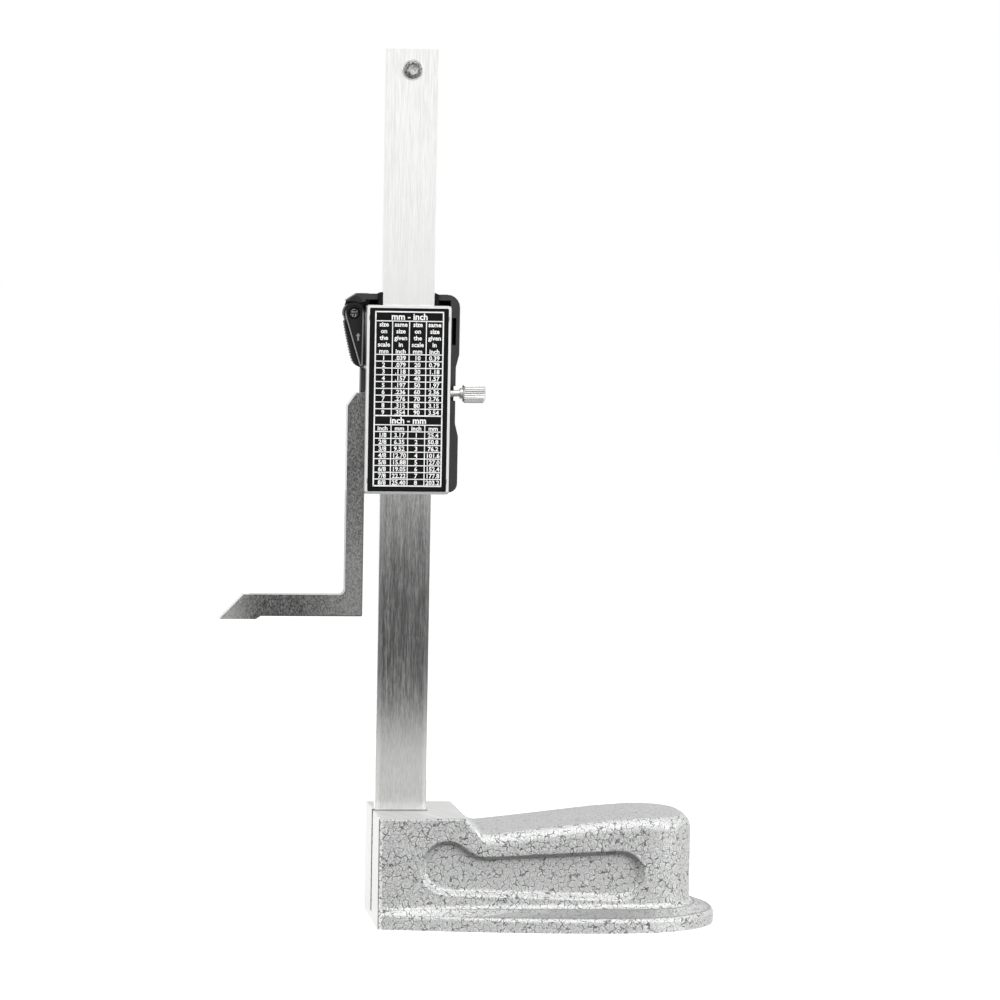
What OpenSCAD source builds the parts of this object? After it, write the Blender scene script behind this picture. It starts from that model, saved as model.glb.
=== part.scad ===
// Digital height gauge: a cast base, an upright beam and a slider with a scriber arm.
// The origin is on the ground sole, under the beam's centre line. +Z is up, +X runs along the base to its
// tail, and +Y is the side that carries the display. All sizes are in millimetres.

/* [Base casting] */
// Length of the machined block ahead of the beam's centre line
base_front = 8.6; // [8.2:0.1:12]
// Length of the machined block behind the beam's centre line
block_back = 18.2; // [15:0.1:21]
// Width of the block and of the handle
base_w = 40; // [36:0.5:48]
// Height of the machined block
block_h = 34.3; // [32:0.1:38]
// Run of the slope from the block down to the neck
neck_run = 5; // [4:0.1:7]
// Height of the handle at its neck
neck_h = 28.8; // [27.5:0.1:31]
// Height of the handle at its tail
tail_h = 34.8; // [32:0.1:38]
// Radius along the handle's top edges
handle_edge_r = 4; // [2:0.1:6]
// Radius round the handle's top edge at the tail
tail_edge_r = 4.5; // [3:0.1:9]
// Distance from the beam's centre line to the handle's end
handle_end = 91.2; // [86:0.1:95]
// Length of the handle's rounded end
handle_round = 17; // [12:0.1:20]
// Distance from the beam's centre line to the foot's end
foot_end = 99.2; // [96:0.1:110]
// Width of the flared foot
foot_w = 60; // [52:0.5:70]
// How far the foot stands out at the base's front end
foot_front = 0.5; // [0.5:0.1:3]
// Length of the foot's rounded end
foot_round = 33; // [26:0.1:40]
// Height of the foot's upright edge
foot_edge_h = 3.2; // [2:0.1:4.4]
// Height at which the foot's sloping top meets the wall
foot_root_h = 8; // [7.4:0.1:8.2]
// Depth of the relief ground into the sole under the handle
sole_relief = 0.8; // [0.4:0.1:1.5]

/* [Finger pockets] */
// Depth of the pocket in each side of the base
pocket_depth = 2.4; // [1:0.1:4]
// Radius of the pocket's front end
pocket_front_r = 8; // [6.8:0.1:8.2]
// Distance from the beam's centre line to the middle of the front end
pocket_front_x = 12.9; // [12.4:0.1:14]
// Height of the middle of the front end
pocket_front_z = 18.9; // [18.5:0.1:20]
// Radius of the pocket's back end
pocket_back_r = 7.4; // [5:0.1:7.6]
// Distance from the beam's centre line to the middle of the back end
pocket_back_x = 66.8; // [55:0.1:69]
// Height of the middle of the back end
pocket_back_z = 16.4; // [16.2:0.1:18]
// Radius of the hollow between the front end and the upper edge
pocket_blend_r = 9; // [6:0.1:14]
// Slope of the pocket's upper edge, in degrees
pocket_slope = 2.6; // [0:0.1:4]

/* [Beam] */
// Width of the beam
beam_w = 16; // [14:0.1:16.4]
// Thickness of the beam
beam_t = 4; // [3:0.1:5]
// Height of the beam's top above the sole
beam_top = 270.4; // [255:0.1:330]
// Height of the slot's floor, on which the beam stands
beam_seat = 2.6; // [2:0.1:5]
// Bevel along the beam's edges
beam_bevel = 0.15; // [0.1:0.05:0.6]
// Width of the scale let into the beam
scale_w = 11; // [8:0.1:12]
// Thickness of the scale board
scale_t = 0.6; // [0.4:0.05:0.8]
// Thickness of the printed film on the scale
film_t = 0.12; // [0.05:0.01:0.2]
// Length of bare beam left above the scale
scale_top_margin = 11; // [10.6:0.1:20]
// Distance from the beam's top down to the stop screw
stop_drop = 6.4; // [5:0.1:7]

/* [Slider frame] */
// Width of the slider frame
frame_w = 26.1; // [25.2:0.1:29]
// Length of the slider frame along the beam
frame_h = 58.3; // [57.6:0.1:64]
// Height of the frame's lower end, as shown
frame_z = 133.2; // [131:0.1:150]
// Thickness of the frame's back
web_t = 2.2; // [1.8:0.1:3]
// Width of the rim round the printed sheet
rim_w = 0.8; // [0.5:0.05:1.5]
// Thickness of the printed sheet
label_t = 0.2; // [0.1:0.02:0.4]
// Thickness of the gib strip
gib_t = 0.9; // [0.6:0.1:1.2]
// Height of the lock screw's axis above the frame's lower end
lock_rise = 31.2; // [28:0.1:34]

/* [Scriber arm] */
// Width of the arm's upright limb
arm_w = 5.5; // [4:0.1:7]
// Thickness of the arm
arm_t = 5.5; // [4:0.1:6.2]
// Height of the arm's top above the frame's lower end
arm_top_rise = 31.1; // [20:0.1:34]
// Distance from the frame's lower end down to the arm's underside
arm_drop = 38.15; // [30:0.05:45]
// Height of the arm's level limb
limb_h = 6.65; // [5:0.05:9]
// Distance from the beam's centre line to the scriber's point
arm_reach = 57.3; // [48:0.1:70]
// Height of the foot that stands below the level limb
tip_drop = 1; // [0.5:0.05:1.6]
// Length of the scriber's flat foot
tip_foot = 11.3; // [8.5:0.1:14]
// Length of the bevel at the scriber's point
tip_bevel = 7.4; // [5:0.1:9]

/* [Housing] */
// Distance from the beam's middle plane to the housing's display face
housing_front = 13; // [12.6:0.1:16]
// Distance from the beam's middle plane to the housing's back edge
housing_back = 1; // [0.4:0.1:1.6]
// Thickness of the housing's front wall
front_wall = 1.5; // [1.2:0.1:2]
// Thickness of the housing's side walls
side_wall = 1.6; // [1.2:0.1:2]
// Radius round the housing's display face
front_edge_r = 1.2; // [0.5:0.1:1.4]
// How far the housing's walls lean in from its back edge to its display face
draft = 0.8; // [0.3:0.1:0.9]
// How far the housing's right side swells past its waist
side_swell = 1; // [0.4:0.1:1.6]
// Height of the display window
window_h = 10.6; // [8:0.1:11]
// Width of the display window
window_w = 22; // [18:0.1:22.6]
// Diameter of the buttons
button_d = 6; // [4.5:0.1:6.6]
// Travel of the buttons
button_travel = 0.6; // [0.3:0.05:0.8]
// Distance between the buttons' centres
button_pitch = 9; // [8.8:0.1:9.2]

/* [Battery door] */
// Radius of the door's round end
door_r = 3.3; // [2.8:0.1:3.5]
// Radius of the door's narrow end
door_tip_r = 0.9; // [0.6:0.1:1.2]
// Distance between the centres of the door's two ends
door_len = 16; // [15.4:0.1:16.2]
// Diameter of the button cell
cell_d = 11.6; // [9.5:0.1:11.8]
// Thickness of the button cell
cell_t = 5.4; // [3:0.1:5.6]

/* [Lock screw] */
// Diameter of the knurled head
knob_d = 5.9; // [4.5:0.1:7]
// Length of the knurled head
knob_l = 7; // [5:0.1:9]
// Distance from the frame's side to the head
knob_gap = 4.3; // [4:0.1:7]

/* [Hidden] */
$fn = 48;

// Clearances and fits
over = 1;
side_play = 0.05;
face_play = 0.1;
thread_play = 0.05;
bore_play = 0.05;
loose_play = 0.3;
housing_play = 0.25;

// Beam and scale
beam_x = beam_w / 2;
beam_y = beam_t / 2;
scale_rise = 0.7;
scale_from = block_h + scale_rise;
scale_to = beam_top - scale_top_margin;
scale_depth = scale_t + film_t;
stop_z = beam_top - stop_drop;

// Screws of the stand
clamp_r = 2;
clamp_head_r = 3.5;
clamp_head_h = 4;
clamp_socket_r = 1.7;
clamp_sink = 4.2;
clamp_reach = 9;
clamp_zs = [11, 25];
stop_r = 1.25;
stop_head_r = 2.75;
stop_head_h = 2;
stop_bevel = 0.5;
stop_socket_r = 1.4;
stop_socket_depth = 1.2;
washer_r = 3.25;
washer_t = 0.5;

// Slider frame
frame_x = frame_w / 2;
frame_top = frame_z + frame_h;
web_y = -beam_y - face_play;
back_y = web_y - web_t;
board_gap = 0.5;
board_t = 1;
rail_y = beam_y + board_gap;
board_y = rail_y + board_t;
gib_x = beam_x + side_play;
rail_x = gib_x + gib_t;
label_below_rim = 0.1;
label_sink = label_t + label_below_rim;
case_inset = 2.1;
case_x = frame_x - case_inset;
case_end = 4;
case_zs = [frame_z + case_end, frame_top - case_end];
case_r = 0.8;
case_head_r = 1.5;
case_head_h = 0.9;
gib_screw_r = 1.25;
gib_screw_end = 14;
gib_screw_zs = [frame_z + gib_screw_end, frame_top - gib_screw_end];
gib_half = 1.8;
gib_end = 2.5;
lock_z = frame_z + lock_rise;
lock_r = 1.25;
lock_neck_r = 1;

// Scriber arm
arm_x1 = -frame_x;
arm_x0 = arm_x1 - arm_w;
arm_step = 1.1;
arm_y0 = back_y + arm_step;
arm_z0 = frame_z - arm_drop;
arm_z1 = frame_z + arm_top_rise;
limb_top = arm_z0 + limb_h;
arm_root = 1.5;
arm_corner = [2.7, 3.9];
arm_inner_r = 1.6;
arm_foot_r = 0.5;
tip_z = arm_z0 - tip_drop;
tip_slope_run = 1.4;
seam_bottom_x = -arm_reach + tip_foot + tip_slope_run;
seam_lean = 3.4;

// Housing
bay_x = frame_x + housing_play;
top_wall = 1.8;
top_gap = 1.7;
left_wall = 1.1;
left_x = -bay_x - left_wall;
right_extra = 0.2;
waist_x = bay_x + side_wall + right_extra;
swell_x = waist_x + side_swell;
housing_rise = 0.4;
housing_z0 = frame_z + housing_rise;
bay_top = frame_top + top_gap;
housing_z1 = bay_top + top_wall;
swell_low = 17.5;
swell_high = 22.5;
swell_run = 4;
bay_y = board_y + face_play;
inner_y = housing_front - front_wall;
face_x = (left_x + waist_x) / 2;
boss_r = 2;
port_size = [1.3, 8.4];
port_in = 0.4;
port_rise = 46.2;
port_depth = 5;
lock_notch = 4.6;

// Display, buttons and battery
lcd_rise = 28.6;
lcd_z = frame_z + lcd_rise;
lcd_size = [25, 14.6];
lcd_t = 2;
lcd_corner = 0.3;
window_corner = 1;
zebra_t = 2;
zebra_w = 23;
window_sink = 0.2;
button_rise = 13;
button_z = frame_z + button_rise;
button_flange = 0.6;
button_flange_t = 1.2;
button_proud = 0.8;
pad_t = 0.8;
pad_rim = 0.8;
dome_h = 1.6;
dome_r = 2.2;
button_bottom = board_y + pad_t + dome_h + button_travel + face_play;
cell_r = cell_d / 2;
cell_gap = 1.3;
cell_y = board_y + cell_gap;
cell_in = 0.4;
cell_x = -bay_x + cell_in + cell_r;
cell_play = 0.2;

// Battery door
pivot_x = -bay_x - loose_play - door_r;
pivot_drop = 2.6;
pivot_z = frame_top - pivot_drop;
tip_in = door_r - door_tip_r - face_play;
door_tip = [pivot_x + tip_in, pivot_z - sqrt(door_len ^ 2 - tip_in ^ 2)];
door_foot = door_tip.y - door_tip_r;
cell_rise = 1.9;
cell_z = door_foot + cell_rise + cell_r;
door_y0 = -2.2;
door_y1 = inner_y - loose_play;
door_step_y = 2.8;
door_inset = 1.3;
inner_shift = 0.8;
inner_thin = 0.3;
ear_y0 = inner_y;
ear_t = 1;
ear_skin = 0.3;
pivot_r = 0.9;
pivot_head_r = 1.3;
pivot_head_h = 0.9;
pivot_ring = 0.6;
pivot_sink = 1.3;
pivot_slot = 0.4;
rib_in = 0.75;
rib_w = 0.35;
rib_h = 0.35;
grip_r = 0.25;
grip_pitch = 0.7;

// Colours as the photograph shows them
paint_grey = [0.72, 0.73, 0.73];
bright_steel = [0.82, 0.82, 0.81];
ground_steel = [0.50, 0.50, 0.49];
hard_tip = [0.62, 0.62, 0.61];
dark_steel = [0.34, 0.34, 0.35];
plastic_black = [0.12, 0.12, 0.13];

// Shared functions
quarter_turn = 90;
half_turn = 2 * quarter_turn;
full_turn = 2 * half_turn;
function mix(a, b, t) = a + (b - a) * t;
function ease(t) = let (c = min(max(t, 0), 1)) c * c * (3 - 2 * c);
function unit(v) = v / norm(v);
function arc(c, r, a0, a1, n) = [for (i = [0 : n]) let (a = mix(a0, a1, i / n)) c + r * [cos(a), sin(a)]];
function turned(v) = [-v.y, v.x];

// One rounded corner at b, between its neighbours a and c
function corner(a, b, c, r, n) =
    r == 0 ? [b] :
    let (u = unit(a - b), w = unit(c - b), half = acos(u * w) / 2)
    let (m = b + unit(u + w) * (r / sin(half)), p = b + u * (r / tan(half)), q = b + w * (r / tan(half)))
    let (a0 = atan2(p.y - m.y, p.x - m.x), a1 = atan2(q.y - m.y, q.x - m.x))
    let (d = a1 - a0, sweep = d > half_turn ? d - full_turn : d < -half_turn ? d + full_turn : d)
    arc(m, r, a0, a0 + sweep, n);

// An outline from corners given as [x, y, radius]
function rounded(corners, n = 5) =
    let (k = len(corners), p = [for (c = corners) [c.x, c.y]])
    [for (i = [0 : k - 1]) each corner(p[(i + k - 1) % k], p[i], p[(i + 1) % k], corners[i].z, n)];

// A box outline from its lower left to its upper right corner
function box_outline(a, b, r) = rounded([[a.x, a.y, r], [b.x, a.y, r], [b.x, b.y, r], [a.x, b.y, r]]);

// A box outline about its middle, with a bevel at each corner
function bevelled(half, b) = [for (s = [[-1, -1], [1, -1], [1, 1], [-1, 1]])
    for (cut = s.x * s.y > 0 ? [[0, b], [b, 0]] : [[b, 0], [0, b]])
        [s.x * (half.x - cut.x), s.y * (half.y - cut.y)]];

// An outline drawn in by a margin, with each corner kept on its mitre line
function drawn_in(pts, e) =
    let (k = len(pts))
    [for (i = [0 : k - 1])
        let (n1 = turned(unit(pts[i] - pts[(i + k - 1) % k])), n2 = turned(unit(pts[(i + 1) % k] - pts[i])))
        pts[i] + (n1 + n2) * e / (1 + n1 * n2)];

// Two circles and the straight lines that touch both, with the narrow end below
function teardrop(c1, r1, c2, r2) =
    let (d = c2 - c1, base = atan2(d.y, d.x), lean = acos((r1 - r2) / norm(d)))
    concat(arc(c1, r1, base + lean, base - lean + full_turn, 20), arc(c2, r2, base - lean, base + lean, 8));

// A solid between outlines of the XZ plane: each ring is [how far the outline is drawn in, its Y]
module lofted(outline, rings) {
    k = len(outline);
    last = len(rings) - 1;
    points = [for (ring = rings) for (p = drawn_in(outline, ring[0])) [p.x, ring[1], p.y]];
    near_cap = [for (i = [k - 1 : -1 : 0]) i];
    far_cap = [for (i = [0 : k - 1]) last * k + i];
    sides = [for (j = [0 : last - 1]) for (i = [0 : k - 1])
        let (n = (i + 1) % k) [j * k + i, j * k + n, (j + 1) * k + n, (j + 1) * k + i]];
    polyhedron(points, concat([near_cap, far_cap], sides), convexity = 6);
}

// An outline of the XZ plane carried from one Y to another
module along_y(y0, y1) {
    translate([0, y1, 0]) rotate([90, 0, 0]) linear_extrude(y1 - y0, convexity = 6) children();
}

// A box between two opposite corners
module block(a, b) {
    translate(a) cube(b - a);
}

// A round bar along +Y, and one along +X
module bar_y(x, z, y0, y1, r) {
    translate([x, y0, z]) rotate([-90, 0, 0]) cylinder(h = y1 - y0, r = r);
}

module bar_x(y, z, x0, x1, r) {
    translate([x0, y, z]) rotate([0, 90, 0]) cylinder(h = x1 - x0, r = r);
}

// A hexagon socket along +Y
module hex_y(x, z, y0, y1, r) {
    translate([x, y0, z]) rotate([-90, 0, 0]) cylinder(h = y1 - y0, r = r, $fn = 6);
}

// Base casting: its skin is a row of arches, each rising from the foot over the top to the other side.
chamfer_steps = 6;
handle_steps = 4;
tail_angles = [14, 28, 42, 54, 65, 74, 81, 87];
neck_x = block_back + neck_run;
neck_blend = 3;
neck_soften = 1.4;
block_edge_r = 0.4;
slope_edge_wait = 2.5;
tail_edge_by = 70;
handle_crown = 0.5;
handle_squareness = 0.78;
foot_squareness = 0.92;
foot_fillet = [0.25, 1.8];
foot_round_over = [0.2, 1.4];
tail_x = handle_end - handle_round;
spine_inset = 12.2;
spine_end = handle_end - spine_inset;
foot_x = foot_end - foot_round;

function slope_z(x) = block_h - (x - block_back) * (block_h - neck_h) / neck_run;
function handle_z(x) = neck_h + (x - neck_x) * (tail_h - neck_h) / (tail_x - neck_x);
function softer_of(a, b) = (a + b + sqrt((a - b) ^ 2 + neck_soften ^ 2)) / 2;
function top_z(x) = x <= block_back ? block_h : min(block_h, softer_of(slope_z(x), handle_z(x)));
function grown(x) = ease((x - block_back) / neck_run);
function edge_grown(x) = ease((x - block_back - slope_edge_wait) / neck_run);
function foot_flare(x) = sin(quarter_turn * min((x + base_front) / (foot_x + base_front), 1));
function foot_half(x) = mix(base_w / 2 + foot_front, foot_w / 2, foot_flare(x));
function end_curve(x, reach, half, bend, a) = [x + reach * sin(a) ^ bend, -half * cos(a) ^ bend];

// The stations of the arches along the straight part of the base
stations = concat(
    [-base_front, 0, block_back],
    [for (i = [1 : chamfer_steps]) mix(block_back, neck_x + neck_blend, i / chamfer_steps)],
    [for (i = [1 : handle_steps]) mix(neck_x + neck_blend, tail_x, i / handle_steps)]);

// Each arch stands on [wall point, foot point, spine point, edge radius]
function straight_arch(x) = [
    [x, -base_w / 2], [mix(-base_front, foot_x, (x + base_front) / (tail_x + base_front)), 0],
    [x, 0], mix(block_edge_r, handle_edge_r, edge_grown(x))];
function placed_arch(s) = [s[0], [s[1].x, -foot_half(s[1].x)], s[2], s[3]];
function tail_arch(a) = [
    end_curve(tail_x, handle_round, base_w / 2, handle_squareness, a),
    end_curve(foot_x, foot_round, foot_w / 2, foot_squareness, a),
    [mix(tail_x, spine_end, a / quarter_turn), 0],
    mix(handle_edge_r, tail_edge_r, ease(a / tail_edge_by))];
arches = concat([for (x = stations) placed_arch(straight_arch(x))], [for (a = tail_angles) tail_arch(a)]);

// The foot's profile as [share of the overhang, height], from the sole up to the wall
foot_profile = concat(
    [[1, 0]],
    [for (a = [0 : quarter_turn / 3 : quarter_turn])
        [1 - foot_round_over.x * (1 - cos(a)), foot_edge_h + foot_round_over.y * sin(a)]],
    [for (a = [quarter_turn : -quarter_turn / 4 : 0])
        [foot_fillet.x * (1 - cos(a)), foot_root_h - foot_fillet.y * sin(a)]]);
edge_angles = [0 : quarter_turn / 5 : quarter_turn];
top_shares = [0.5, 1];

function arch_edge(s, a) =
    let (p = s[0] + unit(s[2] - s[0]) * s[3] * (1 - cos(a)))
    [p.x, p.y, top_z(p.x) - s[3] * (1 - sin(a))];
function arch_top(s, t) =
    let (p = mix(s[0] + unit(s[2] - s[0]) * s[3], s[2], t))
    [p.x, p.y, top_z(p.x) + handle_crown * grown(p.x) * (1 - (1 - t) ^ 2)];
function half_arch(s) = concat(
    [for (f = foot_profile) let (p = mix(s[0], s[1], f.x)) [p.x, p.y, f.y]],
    [for (a = edge_angles) arch_edge(s, a)],
    [for (t = top_shares) arch_top(s, t)]);
function mirrored(pts) = [for (i = [len(pts) - 2 : -1 : 0]) [pts[i].x, -pts[i].y, pts[i].z]];

module casting_skin() {
    rows = [for (s = arches) let (h = half_arch(s)) concat(h, mirrored(h))];
    count = len(rows);
    k = len(rows[0]);
    top = (k - 1) / 2;
    end = (count - 1) * k;
    skin = [for (i = [0 : count - 2]) for (j = [0 : k - 2])
        let (a = i * k + j, b = a + k)
        each [[a, a + 1, b + 1], [a, b + 1, b]]];
    front_cap = [for (j = [k - 1 : -1 : 0]) j];
    sole = concat([for (i = [0 : count - 1]) i * k], [for (i = [count - 1 : -1 : 0]) i * k + k - 1]);
    tail_strip = [for (j = [0 : top - 1])
        let (a = end + j, b = end + k - 1 - j)
        each j == top - 1 ? [[a, a + 1, b]] : [[a, a + 1, b - 1], [a, b - 1, b]]];
    polyhedron([for (row = rows) each row], concat(skin, [front_cap, sole], tail_strip), convexity = 8);
}

// Finger pocket: two round ends, a hollow that joins the front one to the upper edge, and a straight underside
pocket_front = [pocket_front_x, pocket_front_z];
pocket_back = [pocket_back_x, pocket_back_z];
pocket_dir = [cos(pocket_slope), sin(pocket_slope)];
pocket_edge = pocket_back + turned(pocket_dir) * (pocket_back_r + pocket_blend_r);
blend_from = pocket_edge - pocket_front;
blend_reach = pocket_front_r + pocket_blend_r;
blend_along = -blend_from * pocket_dir
    + sqrt((blend_from * pocket_dir) ^ 2 - blend_from * blend_from + blend_reach ^ 2);
blend_centre = pocket_edge + pocket_dir * blend_along;
blend_angle = atan2(blend_centre.y - pocket_front.y, blend_centre.x - pocket_front.x);
pocket_axis = pocket_back - pocket_front;
under_angle = atan2(pocket_axis.y, pocket_axis.x) - acos((pocket_front_r - pocket_back_r) / norm(pocket_axis));
pocket_outline = concat(
    arc(pocket_front, pocket_front_r, blend_angle, under_angle + full_turn, 16),
    arc(pocket_back, pocket_back_r, under_angle, quarter_turn + pocket_slope, 14),
    arc(blend_centre, pocket_blend_r, pocket_slope - quarter_turn, blend_angle - half_turn, 8));

// The pocket's wall as [how far it is drawn in, share of the depth]
pocket_wall = [[-1.6, -0.2], [-0.35, 0.07], [0, 0.25], [0.7, 0.75], [1.1, 0.93], [1.8, 1]];

module finger_pocket() {
    lofted(pocket_outline, [for (w = pocket_wall) [w[0], -base_w / 2 + w[1] * pocket_depth]]);
}

relief_gap = 2;
relief_from = neck_x + relief_gap;
relief_margin = 9;
relief_corner = 12;
slot_relief = 0.5;

module base_casting() {
    color(paint_grey) difference() {
        casting_skin();
        finger_pocket();
        mirror([0, 1, 0]) finger_pocket();
        block([-base_front - over, -beam_y, beam_seat], [beam_x + slot_relief, beam_y, block_h + over]);
        for (z = clamp_zs) {
            bar_y(0, z, -clamp_reach - over, base_w / 2, clamp_r + thread_play);
            bar_y(0, z, base_w / 2 - clamp_sink, base_w / 2 + over, clamp_head_r + face_play);
        }
        translate([0, 0, -over]) linear_extrude(over + sole_relief) polygon(box_outline(
            [relief_from, relief_margin - base_w / 2], [tail_x, base_w / 2 - relief_margin],
            min(relief_corner, base_w / 2 - relief_margin - over)));
    }
}

module beam_clamp_screws() {
    seat = base_w / 2 - clamp_sink;
    color(dark_steel) for (z = clamp_zs) difference() {
        union() {
            bar_y(0, z, -clamp_reach, seat + over, clamp_r);
            bar_y(0, z, seat, seat + clamp_head_h, clamp_head_r);
        }
        hex_y(0, z, seat + clamp_head_h / 2, seat + clamp_head_h + over, clamp_socket_r);
    }
}

module beam() {
    color(bright_steel) difference() {
        translate([0, 0, beam_seat]) linear_extrude(beam_top - beam_seat)
            polygon(bevelled([beam_x, beam_y], beam_bevel));
        block([-scale_w / 2, beam_y - scale_depth, scale_from], [scale_w / 2, beam_y + over, scale_to]);
        bar_y(0, stop_z, -beam_y - over, beam_y + over, stop_r + thread_play);
        for (z = clamp_zs) bar_y(0, z, -beam_y - over, beam_y + over, clamp_r + loose_play);
    }
}

module scale_strip() {
    color([0.25, 0.38, 0.24])
        block([-scale_w / 2, beam_y - scale_depth, scale_from], [scale_w / 2, beam_y - film_t, scale_to]);
}

module scale_face() {
    color([0.85, 0.85, 0.83])
        block([-scale_w / 2, beam_y - film_t, scale_from], [scale_w / 2, beam_y, scale_to]);
}

module stop_washer() {
    color(bright_steel) difference() {
        bar_y(0, stop_z, -beam_y - washer_t, -beam_y, washer_r);
        bar_y(0, stop_z, -beam_y - washer_t - over, over, stop_r + loose_play);
    }
}

module stop_screw() {
    under = -beam_y - washer_t;
    head = under - stop_head_h;
    color(dark_steel) difference() {
        union() {
            bar_y(0, stop_z, under - over, beam_y - face_play, stop_r);
            translate([0, under, stop_z]) rotate([90, 0, 0]) rotate_extrude() polygon([
                [0, 0], [stop_head_r, 0], [stop_head_r, stop_head_h - stop_bevel],
                [stop_head_r - stop_bevel, stop_head_h], [0, stop_head_h]]);
        }
        hex_y(0, stop_z, head - over, head + stop_socket_depth, stop_socket_r);
    }
}

// Slider frame with the scriber arm in one piece
label_corner = 0.4;
frame_corner = 0.7;

function frame_outline(margin, r) = box_outline(
    [-frame_x + margin, frame_z + margin], [frame_x - margin, frame_top - margin], r);

// The arm's outline: the level limb ends at the seam with the hard tip
arm_outline = rounded([
    [arm_x1, arm_z0, arm_foot_r], [arm_x1, frame_z, 0], [arm_x1 + arm_root, frame_z, 0],
    [arm_x1 + arm_root, arm_z1, 0], [arm_x0 + arm_corner.x, arm_z1, 0], [arm_x0, arm_z1 - arm_corner.y, 0],
    [arm_x0, limb_top, arm_inner_r], [seam_bottom_x - seam_lean, limb_top, 0], [seam_bottom_x, arm_z0, 0]]);

module slider_frame() {
    color(ground_steel) difference() {
        union() {
            along_y(back_y, rail_y) polygon(frame_outline(0, frame_corner));
            along_y(arm_y0, arm_y0 + arm_t) polygon(arm_outline);
        }
        block([-gib_x, web_y, frame_z - over], [rail_x, rail_y + over, frame_top + over]);
        along_y(back_y - over, back_y + label_sink) polygon(frame_outline(rim_w, label_corner));
        for (x = [-case_x, case_x]) for (z = case_zs) {
            bar_y(x, z, back_y, rail_y + over, case_r + bore_play);
            bar_y(x, z, back_y, back_y + label_sink + case_head_h, case_head_r + bore_play);
        }
        for (z = gib_screw_zs) bar_x(0, z, rail_x - over, frame_x + over, gib_screw_r + thread_play);
        bar_x(0, lock_z, rail_x - over, frame_x + over, lock_r + thread_play);
    }
}

module scriber_tip() {
    color(hard_tip) along_y(arm_y0, arm_y0 + arm_t) polygon([
        [-arm_reach, tip_z], [-arm_reach + tip_foot, tip_z], [seam_bottom_x, arm_z0],
        [seam_bottom_x - seam_lean, limb_top], [-arm_reach + tip_bevel, limb_top]]);
}

module chart_label() {
    color(plastic_black) along_y(back_y + label_sink - label_t, back_y + label_sink)
        polygon(frame_outline(rim_w, label_corner));
}

case_seat = back_y + label_sink;
case_reach = 6;

module case_screws() {
    color(bright_steel) for (x = [-case_x, case_x]) for (z = case_zs) difference() {
        union() {
            bar_y(x, z, case_seat + over / 2, board_y + case_reach, case_r);
            bar_y(x, z, case_seat, case_seat + case_head_h, case_head_r);
        }
        hex_y(x, z, case_seat - over, case_seat + case_head_h / 2, case_head_r / 2);
    }
}

module gib_strip() {
    color([0.72, 0.58, 0.30])
        block([gib_x, -gib_half, frame_z + gib_end], [rail_x, gib_half, frame_top - gib_end]);
}

module gib_screws() {
    color(dark_steel) for (z = gib_screw_zs) difference() {
        bar_x(0, z, rail_x, frame_x - face_play, gib_screw_r);
        translate([frame_x - face_play - over, 0, z]) rotate([0, 90, 0])
            cylinder(h = 2 * over, r = gib_screw_r / 2, $fn = 6);
    }
}

// Lock screw: a thread in the frame's side, a thin neck and a head with a straight knurl
knurl_count = 26;
knurl_depth = 0.28;
knurl_land = 0.06;
knob_bevel = 0.6;
collar_l = 0.8;
collar_r = 1.7;
knob_x0 = frame_x + knob_gap;

module knob_blank() {
    rotate([0, 90, 0]) rotate_extrude() polygon([
        [0, 0], [knob_d / 2 - knob_bevel, 0], [knob_d / 2, knob_bevel], [knob_d / 2, knob_l - knob_bevel],
        [knob_d / 2 - knob_bevel, knob_l], [0, knob_l]]);
}

module knurl() {
    step = full_turn / knurl_count;
    tip = knob_d / 2 + knurl_land;
    root = knob_d / 2 - knurl_depth;
    translate([-over, 0, 0]) rotate([0, 90, 0]) linear_extrude(knob_l + 2 * over)
        polygon([for (i = [0 : knurl_count - 1]) each [
            tip * [cos(step * i), sin(step * i)],
            root * [cos(step * (i + 0.5)), sin(step * (i + 0.5))]]]);
}

module lock_screw() {
    color([0.9, 0.9, 0.9]) union() {
        bar_x(0, lock_z, rail_x + face_play, frame_x, lock_r);
        bar_x(0, lock_z, frame_x - over, knob_x0 + over, lock_neck_r);
        bar_x(0, lock_z, knob_x0 - collar_l, knob_x0 + over, collar_r);
        translate([knob_x0, 0, lock_z]) intersection() {
            knob_blank();
            knurl();
        }
    }
}

// Housing: a moulded shell open to the back, with an ear over the battery door
wall_step = 0.3;
cell_wall_x = wall_step - bay_x;
door_step_gap = 0.5;
door_step_z = door_foot - door_step_gap;
foot_corner_r = 2.8;
swell_corner_r = 2.8;
swell_r = 3;
crown_corner_r = 4;
housing_outline = rounded([
    [left_x, housing_z0, foot_corner_r], [swell_x, housing_z0, swell_corner_r],
    [swell_x, housing_z0 + swell_low, swell_r], [waist_x, housing_z0 + swell_low + swell_run, swell_r],
    [waist_x, housing_z1 - swell_high, swell_r], [swell_x, housing_z1 - swell_high + swell_run, swell_r],
    [swell_x, housing_z1, crown_corner_r], [left_x, housing_z1, 0]]);
cavity_r = 1;
cavity_left = draft - bay_x;
cavity_outline = rounded([
    [cavity_left, housing_z0 + side_wall, cavity_r], [waist_x - side_wall, housing_z0 + side_wall, cavity_r],
    [waist_x - side_wall, bay_top, cavity_r], [side_wall - bay_x, bay_top, cavity_r],
    [side_wall - bay_x, door_step_z - side_wall, 0], [cavity_left, door_step_z - side_wall, cavity_r]]);
front_rings = concat(
    [[0, -housing_back]],
    [for (a = [0 : quarter_turn / 4 : quarter_turn])
        [draft + front_edge_r * (1 - cos(a)), housing_front - front_edge_r * (1 - sin(a))]]);

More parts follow.
